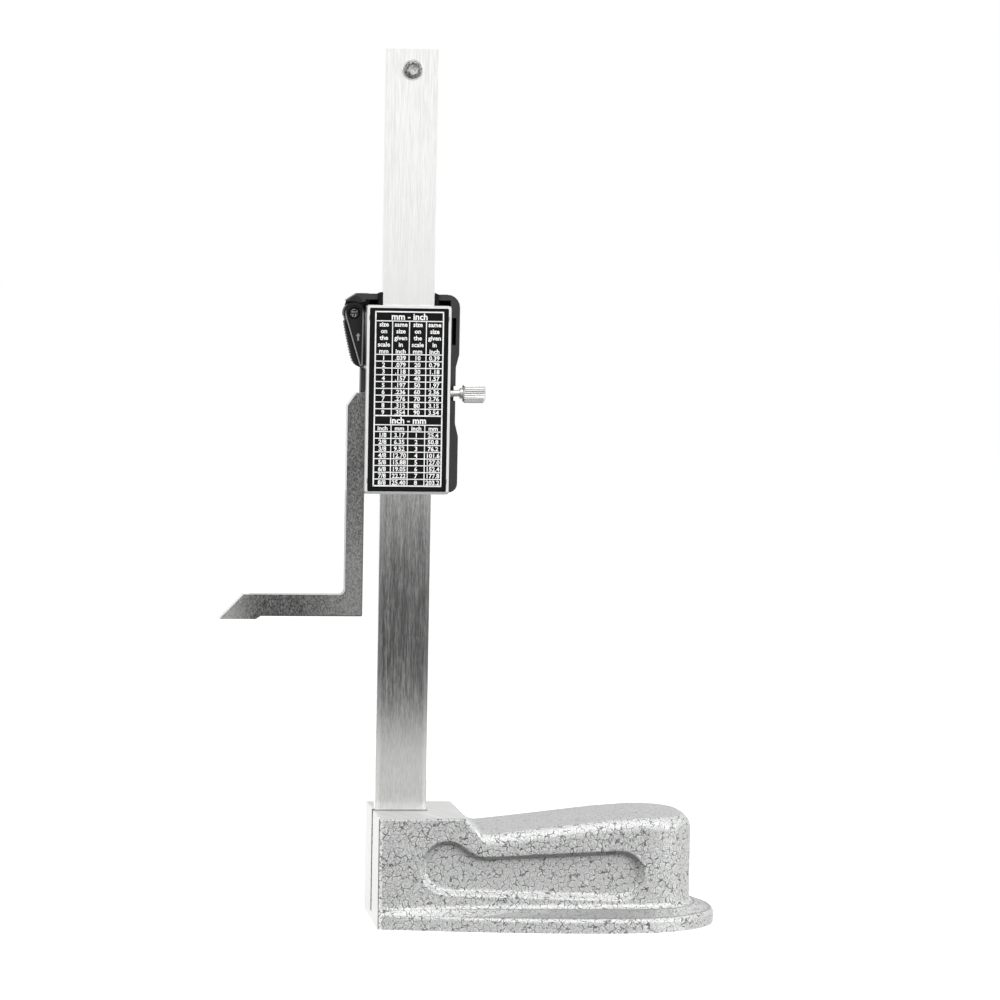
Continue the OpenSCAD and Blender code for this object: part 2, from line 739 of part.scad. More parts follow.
// The ear over the door: a near part round its wide end, a lip behind it and a narrower far part
ear_gap_r = door_r + loose_play;
ear_top_in = 1;
ear_bevel = [1.2, 1.4];
ear_side = [2.5, 3.75];
ear_arc = [100, 62];
lip_in = 0.5;
far_in = 1.4;
far_drop = 1;
lip_y0 = door_step_y + loose_play;
lip_y1 = lip_y0 + ear_t;
lip_z = pivot_z + door_r - door_inset + loose_play;
ear_left = pivot_x - ear_side.x;
ear_corner_z = pivot_z + ear_side.y;
ear_outline = concat(
    [[-bay_x + over, bay_top - loose_play], [-bay_x + over, housing_z1], [pivot_x + ear_top_in, housing_z1],
        [pivot_x - ear_bevel.x, housing_z1 - ear_bevel.y], [ear_left, ear_corner_z]],
    arc([pivot_x, pivot_z], ear_gap_r, ear_arc[0], ear_arc[1], 8));
lip_outline = [[ear_left + lip_in, ear_corner_z], [ear_left, lip_z], [-bay_x + over, lip_z],
    [-bay_x + over, bay_top], [pivot_x, bay_top]];
far_outline = [[ear_left + far_in, ear_corner_z], [ear_left + far_in, lip_z], [-bay_x + over, lip_z],
    [-bay_x + over, housing_z1 - far_drop], [pivot_x + ear_top_in + far_in, housing_z1 - far_drop]];
door_outline = teardrop([pivot_x, pivot_z], door_r, door_tip, door_tip_r);
door_inner = teardrop([pivot_x, pivot_z], door_r - door_inset, door_tip + [inner_shift, 0],
    door_tip_r - inner_thin);

module door_ear() {
    along_y(-housing_back, lip_y1) polygon(ear_outline);
    along_y(lip_y0, lip_y1) polygon(lip_outline);
    along_y(lip_y0, ear_y0 + ear_t / 2) polygon(far_outline);
    along_y(ear_y0, ear_y0 + ear_t) union() {
        polygon(door_inner);
        polygon([[pivot_x, pivot_z], [cell_wall_x + over, pivot_z], [cell_wall_x + over, bay_top],
            [ear_left + far_in, ear_corner_z]]);
    }
}

module housing_body() {
    difference() {
        lofted(housing_outline, front_rings);
        block([left_x - over, -housing_back - over, door_step_z],
            [cell_wall_x, housing_front + over, housing_z1 + over]);
    }
    door_ear();
}

module housing_cuts() {
    along_y(bay_y - over, inner_y) polygon(cavity_outline);
    block([-bay_x, -housing_back - over, housing_z0 - over], [bay_x, bay_y, bay_top]);
    block([left_x - over, -housing_back - over, housing_z0 - over],
        [-bay_x + over, arm_y0 + arm_t + loose_play, arm_z1 + loose_play]);
    block([-wiper_x1 - face_play, -housing_back - over, bay_top - over],
        [wiper_x1 + face_play, wiper_y1 + face_play, housing_z1 + over]);
    block([-beam_x - over, -housing_back - over, housing_z0 - over],
        [beam_x + over, beam_y + board_gap, housing_z0 + side_wall + over]);
    block([bay_x + port_in, -housing_back - over, frame_z + port_rise],
        [bay_x + port_in + port_size.x, port_depth, frame_z + port_rise + port_size.y]);
    block([bay_x - over, -housing_back - over, lock_z - lock_notch / 2],
        [swell_x + over, lock_r + over, lock_z + lock_notch / 2]);
    block([-bay_x - over, cell_y - cell_play, cell_z - cell_r - cell_play],
        [-bay_x + side_wall + over, cell_y + cell_t + cell_play, cell_z + cell_r + cell_play]);
    along_y(inner_y - over, housing_front + over) polygon(window_outline);
    for (x = button_xs) bar_y(x, button_z, inner_y - over, housing_front + over, button_d / 2 + face_play);
    bar_y(pivot_x, pivot_z, ear_y0 - over, ear_y0 + ear_t - ear_skin, pivot_r + thread_play);
}

module front_housing() {
    color(plastic_black) difference() {
        union() {
            difference() {
                housing_body();
                housing_cuts();
            }
            for (x = [-case_x, case_x]) for (z = case_zs) bar_y(x, z, board_y, inner_y + over / 2, boss_r);
        }
        for (x = [-case_x, case_x]) for (z = case_zs)
            bar_y(x, z, board_y - over, board_y + case_reach + over, case_r + thread_play);
    }
}

// Display and buttons
function centred(size, r) = box_outline([face_x, lcd_z] - size / 2, [face_x, lcd_z] + size / 2, r);
window_outline = centred([window_w, window_h], window_corner);
button_xs = [for (i = [-1 : 1]) face_x + i * button_pitch];

module display_window() {
    color([0.75, 0.8, 0.8, 0.4]) along_y(inner_y, housing_front - window_sink) polygon(window_outline);
}

module lcd_panel() {
    color([0.62, 0.66, 0.58]) along_y(inner_y - lcd_t, inner_y) polygon(centred(lcd_size, lcd_corner));
}

module lcd_contact() {
    foot = lcd_z - lcd_size.y / 2;
    color([0.85, 0.75, 0.75])
        block([face_x - zebra_w / 2, board_y, foot], [face_x + zebra_w / 2, inner_y - lcd_t, foot + zebra_t]);
}

module sensor_board() {
    margin = 0.3;
    color([0.10, 0.32, 0.18]) difference() {
        along_y(rail_y, board_y) polygon(frame_outline(margin, frame_corner));
        for (x = [-case_x, case_x]) for (z = case_zs)
            bar_y(x, z, rail_y - over, board_y + over, case_r + thread_play);
    }
}

chip_r = 4;
chip_h = 1.2;
chip_z = lcd_z + zebra_t / 2;

module controller_chip() {
    color(plastic_black) translate([face_x, board_y, chip_z]) rotate([-90, 0, 0]) rotate_extrude()
        polygon([[0, 0], [chip_r, 0], [chip_r, chip_h / 2], [chip_r - chip_h, chip_h], [0, chip_h]]);
}

module button_pad() {
    half = [button_pitch + dome_r + pad_rim, dome_r + pad_rim];
    color([0.75, 0.75, 0.76]) union() {
        along_y(board_y, board_y + pad_t) polygon(box_outline(
            [face_x, button_z] - half, [face_x, button_z] + half, pad_rim));
        for (x = button_xs) bar_y(x, button_z, board_y + pad_t / 2, board_y + pad_t + dome_h, dome_r);
    }
}

// A button: a cap in its hole, a flange behind the housing's wall and a stem towards the pad
module button_cap(x) {
    crown = 0.5;
    color([0.70, 0.70, 0.71]) union() {
        translate([x, inner_y - over, button_z]) rotate([-90, 0, 0]) rotate_extrude() polygon([
            [0, 0], [button_d / 2, 0], [button_d / 2, over + front_wall + button_proud - crown],
            [button_d / 2 - crown, over + front_wall + button_proud], [0, over + front_wall + button_proud]]);
        bar_y(x, button_z, inner_y - button_flange_t, inner_y, button_d / 2 + button_flange);
        bar_y(x, button_z, button_bottom, inner_y, dome_r);
    }
}

module mm_inch_button() {
    button_cap(button_xs[2]);
}

module on_off_button() {
    button_cap(button_xs[1]);
}

module zero_button() {
    button_cap(button_xs[0]);
}

// Battery, its contacts and its door
cell_rim = 0.6;
contact_t = 0.25;
contact_w = 4;
contact_corner = 0.5;

module battery() {
    color([0.8, 0.8, 0.8]) translate([cell_x, cell_y + cell_t, cell_z]) rotate([90, 0, 0]) rotate_extrude()
        polygon([
            [0, 0], [cell_r - cell_rim / 2, 0], [cell_r, cell_rim / 2], [cell_r, cell_t - cell_rim],
            [cell_r - 2 * cell_rim, cell_t - cell_rim], [cell_r - 2 * cell_rim, cell_t], [0, cell_t]]);
}

module battery_contacts() {
    color([0.8, 0.7, 0.45]) union() {
        along_y(board_y, board_y + contact_t) polygon(box_outline(
            [cell_x - contact_w, cell_z - contact_w / 2], [cell_x + contact_w, cell_z + contact_w / 2],
            contact_corner));
        bar_y(cell_x, cell_z, board_y, cell_y, contact_w / 4);
    }
    color([0.8, 0.7, 0.45]) block(
        [cell_x + cell_r, board_y, cell_z - contact_w / 2],
        [cell_x + cell_r + contact_t, cell_y + cell_t - cell_rim, cell_z + contact_w / 2]);
}

// Fine round notches along the door's sloping side give the finger a grip
door_axis = door_tip - [pivot_x, pivot_z];
door_lean = atan2(door_axis.y, door_axis.x) - acos((door_r - door_tip_r) / norm(door_axis));
grip_from = [pivot_x, pivot_z] + door_r * [cos(door_lean), sin(door_lean)];
grip_dir = [-sin(door_lean), cos(door_lean)];
grip_start = 0.3;

module battery_door() {
    color(plastic_black) difference() {
        union() {
            along_y(door_y0, door_step_y) polygon(door_outline);
            along_y(door_step_y - over, door_y1) polygon(door_inner);
            along_y(door_y0 - rib_h, door_y0) difference() {
                polygon(drawn_in(door_outline, rib_in - rib_w));
                polygon(drawn_in(door_outline, rib_in));
            }
        }
        for (i = [0 : floor((door_len - grip_start) / grip_pitch)]) {
            p = grip_from + grip_dir * (grip_start + i * grip_pitch);
            bar_y(p.x, p.y, door_y0 - over, door_step_y + over, grip_r);
        }
        bar_y(pivot_x, pivot_z, door_y0 - over, door_y1 + over, pivot_r + bore_play);
        bar_y(pivot_x, pivot_z, door_y0 - over, door_y0 + pivot_sink, pivot_head_r + pivot_ring);
    }
}

module door_screw() {
    head = door_y0 + pivot_sink - pivot_head_h;
    color(bright_steel) difference() {
        union() {
            bar_y(pivot_x, pivot_z, head + pivot_head_h / 2, ear_y0 + ear_t - ear_skin - face_play, pivot_r);
            bar_y(pivot_x, pivot_z, head, head + pivot_head_h, pivot_head_r);
        }
        block([pivot_x - pivot_head_r - over, head - over, pivot_z - pivot_slot / 2],
            [pivot_x + pivot_head_r + over, head + pivot_head_h / 2, pivot_z + pivot_slot / 2]);
    }
}

// Guard round the beam at the slider's top: a tab at each edge and a bridge over the scale
wiper_gap = 0.15;
wiper_tab = 1.2;
wiper_x0 = beam_x + wiper_gap;
wiper_x1 = wiper_x0 + wiper_tab;
wiper_step = 0.2;
wiper_y0 = -beam_y + wiper_step;
wiper_y1 = board_y;
wiper_proud = 0.5;

module beam_wiper() {
    top = housing_z1 + wiper_proud;
    color([0.07, 0.07, 0.07]) union() {
        for (s = [-1, 1]) along_y(wiper_y0, wiper_y1) polygon([
            for (p = [[wiper_x0, frame_top], [wiper_x1, frame_top], [wiper_x1, housing_z1],
                [wiper_x0, top]]) [s * p.x, p.y]]);
        block([-wiper_x1, rail_y, frame_top], [wiper_x1, wiper_y1, housing_z1]);
    }
}

base_casting();
beam();
scale_strip();
scale_face();
beam_clamp_screws();
stop_screw();
stop_washer();
slider_frame();
scriber_tip();
chart_label();
case_screws();
gib_strip();
gib_screws();
lock_screw();
front_housing();
display_window();
sensor_board();
controller_chip();
lcd_panel();
lcd_contact();
button_pad();
mm_inch_button();
on_off_button();
zero_button();
battery();
battery_contacts();
battery_door();
door_screw();
beam_wiper();
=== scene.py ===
import math

import bpy
import numpy as np
from bpy.props import FloatProperty, FloatVectorProperty, IntProperty, PointerProperty
from mathutils import Matrix, Vector


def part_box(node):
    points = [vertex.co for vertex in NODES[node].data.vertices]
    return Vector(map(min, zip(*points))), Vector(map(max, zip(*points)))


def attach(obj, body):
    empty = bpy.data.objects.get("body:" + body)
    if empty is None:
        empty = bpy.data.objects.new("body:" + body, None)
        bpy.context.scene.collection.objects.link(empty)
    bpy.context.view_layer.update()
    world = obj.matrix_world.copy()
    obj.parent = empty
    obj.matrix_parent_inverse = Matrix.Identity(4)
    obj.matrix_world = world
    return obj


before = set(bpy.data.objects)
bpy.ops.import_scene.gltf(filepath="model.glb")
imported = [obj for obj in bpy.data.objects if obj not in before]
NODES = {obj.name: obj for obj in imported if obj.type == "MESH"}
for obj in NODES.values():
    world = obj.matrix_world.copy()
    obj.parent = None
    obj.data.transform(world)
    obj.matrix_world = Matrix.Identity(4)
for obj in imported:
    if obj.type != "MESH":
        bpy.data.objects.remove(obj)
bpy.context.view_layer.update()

bl_info = {
    "name": "Height gauge",
    "version": (1, 0, 0),
    "blender": (4, 5, 0),
    "location": "3D View > Sidebar > Gauge",
    "description": "Finishes, printed marks, display and stage for a digital height gauge",
    "category": "Object",
}

MM = 0.001
INCH = 25.4
WHITE = (1, 1, 1, 1)
BLACK = (0, 0, 0, 1)
DISPLAY_SIDE = 1
BACK_SIDE = -1


def box_mm(node):
    """A node's lowest and highest corner in millimetres."""
    return (np.array(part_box(node)) / MM).tolist()


def middle_mm(node):
    """The middle of a node's box in millimetres."""
    return np.mean(box_mm(node), axis=0).tolist()


# Places that the parts of model.glb give, in millimetres: the block's end, the arm's sides, lower edge
# and seam, the door's back and the middles of three screws
BLOCK_FRONT = box_mm("base_casting")[0][0]
ARM_BACK, ARM_FRONT = [corner[1] for corner in box_mm("scriber_tip")]
LIMB_BOTTOM = box_mm("slider_frame")[0][2]
ARM_SEAM = -box_mm("slider_frame")[1][0]
DOOR_BACK = box_mm("battery_door")[0][1]
PIVOT = middle_mm("door_screw")
STOP = middle_mm("stop_screw")
LOCK = middle_mm("lock_screw")
KNOB_RADIUS = box_mm("lock_screw")[1][2] - LOCK[2]

# The lock screw's neck, in millimetres
NECK_RADIUS = 1.05

# The casting's block, its slope's direction and run, and the tops of handle and foot, in millimetres
BLOCK_TOP = 34.3
BLOCK_BACK = 18.2
BLOCK_SIDE = 20.0
SLOPE_WAY = (0.78, 0.63)
SLOPE_RUN = 4.5
HANDLE_TOP = 28.5
FOOT_TOP = 12.0

# Stretches of the beam and of the arm over which a finish changes, in millimetres
RUBBED = (120, 175)
SCUFFED = (50, 80)
POINT_RUN = (-56, -43)
LIMB_RUN = (-36, -15)
UPRIGHT_RUN = (102, 145)
PLATE_BOTTOM = 133.0

# The dark arch on the housing above the door: its middle and half its size, in millimetres
ARCH_MIDDLE = (-16.4, 189.0)
ARCH_HALF = (2.9, 5.4)

# Bands along the block's edges in which the painted highlight and the dark line fade out, in millimetres
HIGHLIGHT_END = (0.9, 1.6)
HIGHLIGHT_TOP = (0.4, 0.8)
HIGHLIGHT_SLOPE = (0.2, 1.0)
HIGHLIGHT_SIDE = (0.6, 1.2)
LINE_END = (0.25, 0.45)
LINE_TOP = (0.15, 0.3)

# Sizes of the paint's patterns, and reach and size of each push that bends its cells, in millimetres
PAINT_CELL = 1.85
PAINT_PATCH = 1.6
PAINT_FLAKE = 0.32
PAINT_CLOUD = 9
PAINT_WARPS = ((1.1, 4.0), (0.5, 0.8))

# Grains of the metals, in millimetres along all three axes or along X, Y and Z
GROUND = (26, 1.3, 9)
GROUND_TURN = math.radians(64)
MILLED = (9, 16, 0.45)
HAIR = (0.3, 0.3, 6)
STREAK = (1.1, 1.1, 45)
SCUFF = (0.3, 0.3, 2.2)
NICK = (0.3, 0.3, 1.6)
GRIT = (0.3, 0.3, 0.6)
SPECK = (0.3, 0.3, 0.8)
ARM_CLOUD = (5, 5, 9)
SATIN = (0.15, 0.15, 9)
MOTTLE = 0.36
RUB = 0.45
CHROME_SMUDGE = 0.6
METAL_GRAIN = 0.3
METAL_SMUDGE = 2.5
GIB_GRAIN = (0.2, 0.2, 6)
CONTACT_GRAIN = (0.2, 4, 0.2)

# Grains of plastic, boards, glass and ink, in millimetres
PLASTIC_GRAIN = 0.28
PLASTIC_CLOUD = 6
FELT_GRAIN = 0.2
SHEET_GRAIN = 0.5
TRACK = (0.7, 5, 9)
BOARD_CLOUD = 4
SCALE_BAR = 8
CARBON_BAR = 1.5
SPARKLE = 0.12
LCD_CLOUD = 9
SMEAR = (6, 6, 2.5)
INK_SPOT = 0.5

# Lettering: a figure's height in the font, and how far its outline is pushed out to make it bold
FIGURE = 0.7
BOLDER = 0.028


# Shader maths
class Value:
    """An output socket of a tree. Operators on it add Math nodes, and a plain number stays a number."""

    def __init__(self, owner, socket):
        self.owner = owner
        self.socket = socket

    def math(self, operation, *values):
        return self.owner.node("ShaderNodeMath", {"operation": operation}, dict(enumerate(values)))

    def __add__(self, other):
        return self.math("ADD", self, other)

    def __sub__(self, other):
        return self.math("SUBTRACT", self, other)

    def __rsub__(self, other):
        return self.math("SUBTRACT", other, self)

    def __mul__(self, other):
        return self.math("MULTIPLY", self, other)

    def __gt__(self, other):
        return self.math("GREATER_THAN", self, other)

    def __lt__(self, other):
        return self.math("LESS_THAN", self, other)

    def __or__(self, other):
        return self.math("MAXIMUM", self, other)

    def __abs__(self):
        return self.math("ABSOLUTE", self)

    __radd__ = __add__
    __rmul__ = __mul__

    def root(self):
        return self.math("SQRT", self)

    def rise(self, low, high):
        """0 below low, 1 above high and a smooth step between them."""
        return self.owner.node("ShaderNodeMapRange", {"interpolation_type": "SMOOTHSTEP"},
                               {"Value": self, "From Min": low, "From Max": high})

    def fall(self, low, high):
        """1 below low, 0 above high and a smooth step between them."""
        return 1 - self.rise(low, high)


class Tree:
    """A tree of nodes: node() adds any node, and feed() links or sets a socket."""

    def __init__(self, tree):
        self.tree = tree

    def node(self, kind, settings, sockets, out=0):
        made = self.tree.nodes.new(kind)
        for key, value in settings.items():
            setattr(made, key, value)
        for key, value in sockets.items():
            self.feed(made.inputs[key], value)
        return Value(self, made.outputs[out])

    def feed(self, socket, value):
        if isinstance(value, Value):
            self.tree.links.new(value.socket, socket)
        else:
            socket.default_value = value

    def shown(self):
        """1 for rays that show the stage itself: from the camera, off gloss and through glass."""
        camera, gloss, glass = [self.node("ShaderNodeLightPath", {}, {}, f"Is {kind} Ray")
                                for kind in ("Camera", "Glossy", "Transmission")]
        return camera | gloss | glass


class Finish(Tree):
    """A material and the patterns that the finishes are made from. A pattern's size is in millimetres,
    one for all three axes or one for each."""

    def __init__(self, name):
        self.material = bpy.data.materials.new(name)
        self.material.use_nodes = True
        super().__init__(self.material.node_tree)
        self.point = self.node("ShaderNodeTexCoord", {}, {}, "Object")

    def surface(self, **sockets):
        """The material, with values on the sockets of its Principled shader."""
        shader = self.tree.nodes["Principled BSDF"]
        for key, value in sockets.items():
            self.feed(shader.inputs[key.replace("_", " ")], value)
        return self.material

    def replaced(self, shader):
        """The material, with another shader in place of the Principled one."""
        self.feed(self.tree.nodes["Material Output"].inputs["Surface"], shader)
        return self.material

    def place(self, axes):
        """The point's coordinates along the named axes, in millimetres."""
        parts = [self.node("ShaderNodeSeparateXYZ", {}, {0: self.point}, axis) for axis in axes]
        return [part * (1 / MM) for part in parts]

    def attribute(self, name):
        """A value that the mesh carries."""
        return self.node("ShaderNodeAttribute", {"attribute_name": name}, {}, "Fac")

    def vector(self, operation, sockets):
        return self.node("ShaderNodeVectorMath", {"operation": operation}, sockets)

    def spread(self, size, point=None, turn=0.0):
        """The point counted in steps of the given size, after a turn about Z."""
        scale = np.broadcast_to(1 / (MM * np.array(size)), 3).tolist()
        turned = self.node("ShaderNodeMapping", {}, {
            "Vector": point or self.point, "Rotation": (0, 0, turn)})
        return self.vector("MULTIPLY", {0: turned, 1: scale})

    def noise(self, size, detail=2.0, out="Fac", turn=0.0):
        """Cloudy noise whose grains have the given size."""
        return self.node("ShaderNodeTexNoise", {}, {
            "Vector": self.spread(size, turn=turn), "Scale": 1.0, "Detail": detail}, out)

    def cell_edges(self, size, point):
        """The distance to the edges of cells that have about the given size."""
        return self.node("ShaderNodeTexVoronoi", {"feature": "DISTANCE_TO_EDGE"}, {
            "Vector": self.spread(size, point), "Scale": 1.0}, "Distance")

    def stripes(self, axis, size):
        """Stripes across an axis: 1 on a stripe and 0 between two."""
        wave = self.node("ShaderNodeTexWave", {"bands_direction": axis}, {
            "Vector": self.spread(size), "Scale": 1.0, "Distortion": 0.0}, "Fac")
        return wave.rise(0.4, 0.6)

    def warped(self, point, reach, size):
        """A point pushed about by noise, by up to the given reach in millimetres."""
        push = self.vector("SUBTRACT", {0: self.noise(size, out="Color"), 1: (0.5, 0.5, 0.5)})
        scaled = self.vector("SCALE", {0: push, "Scale": 2 * reach * MM})
        return self.vector("ADD", {0: point, 1: scaled})

    def mix(self, factor, low, high):
        """A colour between two others."""
        return self.node("ShaderNodeMix", {"data_type": "RGBA"}, {0: factor, 6: low, 7: high}, 2)

    def tone(self, factor, colour, low, high):
        """A colour between two shares of itself."""
        return self.mix(factor, shade(colour, low), shade(colour, high))

    def bump(self, height, depth, normal=None):
        """A normal tilted by a height from 0 to 1 that stands for the given depth in millimetres."""
        sockets = {"Height": height, "Distance": depth * MM}
        if normal is not None:
            sockets["Normal"] = normal
        return self.node("ShaderNodeBump", {}, sockets)


def shade(colour, share=1.0):
    """A colour made lighter or darker by a share, as the four numbers that a socket takes."""
    return (*[min(1.0, c * share) for c in colour], 1.0)


# Finishes
def block_edges(x, y, z):
    """Painted highlight along the block's end, top and slope, and the thin dark line at end and top, both
    by the distance from these faces."""
    from_end = x - BLOCK_FRONT
    from_top = BLOCK_TOP - z
    from_slope = SLOPE_WAY[0] * (BLOCK_BACK - x) + SLOPE_WAY[1] * from_top
    slope = from_slope.fall(*HIGHLIGHT_SLOPE) * (z > HANDLE_TOP) * (x < BLOCK_BACK + SLOPE_RUN)
    slope = slope * (BLOCK_SIDE - abs(y)).fall(*HIGHLIGHT_SIDE)
    on_block = x < BLOCK_BACK
    # Painted highlight: the paint is made lighter along the block's end, slope and top edges
    wear_and_highlight = from_end.fall(*HIGHLIGHT_END) | slope | from_top.fall(*HIGHLIGHT_TOP) * on_block
    line = from_end.fall(*LINE_END) | from_top.fall(*LINE_TOP) * on_block
    return wear_and_highlight, line


def machined_faces(finish, look, x, z):
    """Where the casting is left bare, the grain there and its colour: the top is ground in slanting
    lines, and the other faces are milled in level ones."""
    top = (z > BLOCK_TOP - 0.05) * (x < BLOCK_BACK + 0.3)
    bare = top | (x < BLOCK_FRONT + 0.04) | (z < 0.02)
    ground = finish.noise(GROUND, detail=3.0, turn=GROUND_TURN)
    milled = 0.4 + 0.5 * finish.noise(MILLED, detail=3.0)
    grain = milled + top * (ground - milled)
    colour = finish.tone(grain.rise(0.3, 0.7), look.machined, 0.72, 1.06)
    colour = finish.mix((1 - top) * 0.4, colour, shade(look.paint, 1.1))
    inside = top * x.rise(BLOCK_FRONT + 0.2, BLOCK_FRONT + 0.8)
    return bare, grain, finish.mix(inside * 0.5, colour, shade(look.paint))


def hammered_paint(look):
    """Silver hammered paint: speckled cells with broken dark veins between them, and machined faces left
    bare. Painted shade where a wall looks down and on flat tops, most on the foot's, painted light where
    a face slopes up, and a painted highlight along the block's edges."""
    finish = Finish("hammered_paint")
    x, y, z = finish.place("XYZ")
    upward = finish.attribute("upward")
    level = upward.rise(0.9, 0.985)
    # Painted shade: faces that look down are darkened
    under = upward.fall(-0.75, -0.2)
    # Painted light: faces that slope up are made lighter, flat tops aside
    lit = upward.rise(0.12, 0.5) * (1 - level)
    point = finish.point
    for reach, size in PAINT_WARPS:
        point = finish.warped(point, reach, size)
    edge = finish.cell_edges(PAINT_CELL, point)
    patch = finish.noise(PAINT_PATCH)
    flake = finish.noise(PAINT_FLAKE)
    cloud = finish.noise(PAINT_CLOUD)
    vein = edge.fall(0.0, 0.095) * patch.rise(0.4, 0.54) * (1 - 0.5 * level)
    halo = edge.rise(0.03, 0.12) * edge.fall(0.12, 0.3) * patch.rise(0.45, 0.6)
    speckle = flake.rise(0.3, 0.7) * 0.8 + cloud * 0.15 + halo * 0.3
    # Flat tops get less speckle, which smooths them and is also a painted shade on them
    painted = finish.tone(speckle * (1 - 0.3 * level) + 0.12 * lit, look.paint, 0.62, 1.5)
    # Painted shade on the foot's flat top
    painted = finish.mix(level * (z < FOOT_TOP) * 0.7, painted, shade(look.paint, 0.45))
    wear_and_highlight, line = block_edges(x, y, z)
    # Painted highlight along the block's edges, broken up by the flakes
    painted = finish.mix(wear_and_highlight * (0.3 + 0.6 * flake), painted, shade(look.paint, 1.9))
    painted = finish.mix(vein, painted, shade(look.vein))
    # Painted shade where a wall looks down, and the thin dark line at the block's end and top
    painted = finish.mix(under * (0.25 + 0.5 * flake) | line * 0.75, painted, shade(look.vein, 0.8))
    bare, grain, machined = machined_faces(finish, look, x, z)
    crown = edge.rise(0.0, 0.25) * 0.5 + flake * 0.5
    lines = finish.bump(grain * bare, depth=0.006)
    relief = finish.bump(crown * (1 - bare), depth=0.05, normal=lines)
    return finish.surface(Base_Color=finish.mix(bare, painted, machined), Metallic=0.2 + 0.75 * bare,
                          Roughness=0.44 + 0.1 * flake - 0.1 * bare, Normal=relief)


def beam_steel(look):
    """Stainless bar brushed along its length: hair lines and broader streaks, rubbed duller below the
    slider, with brighter margins, a few bright nicks and a dark line where the bar leaves the block."""
    finish = Finish("beam_steel")
    x, z = finish.place("XZ")
    hair = finish.noise(HAIR, detail=4.0)
    streak = finish.noise(STREAK)
    scuff = finish.noise(SCUFF, detail=3.0)
    nick = finish.noise(NICK, detail=1.0).rise(0.72, 0.8)
    grain = (hair * 0.7 + streak * 0.3).rise(0.32, 0.68)
    rubbed = z.fall(*RUBBED)
    margin = abs(x).rise(6.2, 7.7) * rubbed
    clean = finish.tone(grain, look.steel, 0.94, 1.06)
    wear_and_highlight = (scuff * 0.55 + hair * 0.3 + streak * 0.15).rise(0.36, 0.64) - 0.5
    wear_and_highlight = wear_and_highlight * (0.4 + 0.6 * z.rise(*SCUFFED)) + 0.5
    dull = finish.tone(wear_and_highlight + 0.9 * margin, look.steel, 0.7, 1.08)
    leaves = (z - BLOCK_TOP).fall(0.2, 0.45) * (z > BLOCK_TOP)
    colour = finish.mix(nick * 0.6, finish.mix(rubbed, clean, dull), shade(look.steel, 1.3))
    return finish.surface(Base_Color=finish.mix(leaves * 0.7, colour, shade(look.vein)), Metallic=1.0,
                          Roughness=0.13 + 0.08 * grain, Anisotropic=0.85,
                          Normal=finish.bump(hair, depth=0.004))


def blasted(finish, look, x, z, extra=0.0):
    """Grit and colour of steel blasted dark: fine grains and lighter specks, on a tone that is lightest
    at the scriber's point, rises again towards the corner and falls up the upright."""
    grit = finish.noise(GRIT, detail=3.0)
    speck = finish.noise(SPECK, detail=1.0).rise(0.56, 0.7)
    light = x.fall(*POINT_RUN) * 0.7 | x.rise(*LIMB_RUN) * (0.3 - 0.22 * z.rise(*UPRIGHT_RUN))
    tone = finish.tone(grit.rise(0.32, 0.68) * 0.38 - 0.08 + light + extra, look.arm, 0.35, 3.2)
    return grit, finish.mix(speck * 0.45, tone, shade(look.arm, 2.6))


def ground_steel(look):
    """One bar of steel in two finishes: a bright satin frame with painted shade below the sheet, and an
    arm blasted dark on its two broad sides, with a dark line along its lower edge and its seam."""
    finish = Finish("ground_steel")
    x, y, z = finish.place("XYZ")
    arm = x.fall(ARM_SEAM - 0.25, ARM_SEAM + 0.05) * ((y < ARM_BACK + 0.12) | (y > ARM_FRONT - 0.12))
    cloud = finish.noise(ARM_CLOUD, detail=3.0)
    grit, dark = blasted(finish, look, x, z, cloud.rise(0.35, 0.7) * 0.06)
    seam = x.rise(ARM_SEAM - 0.4, ARM_SEAM - 0.2) * (z < PLATE_BOTTOM)
    line = (z - LIMB_BOTTOM).fall(0.15, 0.4) | seam
    dark = finish.mix(line * 0.7, dark, shade(look.arm, 0.15))
    brushed = finish.noise(SATIN, detail=3.0)
    satin = finish.tone(brushed, look.steel, 0.9, 1.08)
    # Painted shade on the frame's lower rim and on what lies below the sheet
    satin = finish.mix((z - PLATE_BOTTOM).fall(0.9, 1.2) * 0.75, satin, shade(look.steel, 0.4))
    lines = finish.bump(brushed * (1 - arm), depth=0.004)
    relief = finish.bump(grit * arm, depth=0.03, normal=lines)
    return finish.surface(Base_Color=finish.mix(arm, satin, dark), Metallic=0.35 + 0.65 * arm,
                          Roughness=0.26 + 0.12 * arm + 0.06 * grit, Normal=relief)


def hard_tip(look):
    """Hard metal, blasted like the arm and lighter towards the point, with its bevel ground bright."""
    finish = Finish("hard_tip")
    x, y, z = finish.place("XYZ")
    side = (y < ARM_BACK + 0.03) | (y > ARM_FRONT - 0.03)
    grit, dark = blasted(finish, look, x, z)
    return finish.surface(Base_Color=finish.mix(side, shade(look.steel), dark),
                          Metallic=0.35 + 0.65 * side, Roughness=0.3 + 0.14 * grit,
                          Normal=finish.bump(grit * side, depth=0.02))


def stop_steel(look):
    """Dull screw head: mottled, darker round its edge and lighter in the socket."""
    finish = Finish("stop_head")
    x, z = finish.place("XZ")
    up = z - STOP[2]
    rim = (x * x + up * up).rise(1.6, 2.6)
    mottle = finish.noise(MOTTLE, detail=3.0)
    patch = mottle.rise(0.4, 0.6)
    socket = finish.tone(patch, look.steel, 0.4, 1.0)
    edge = finish.tone(patch, look.arm, 0.35, 2.4)
    return finish.surface(Base_Color=finish.mix(rim, socket, edge), Metallic=0.8,
                          Roughness=0.32 + 0.12 * mottle, Normal=finish.bump(mottle, depth=0.04))


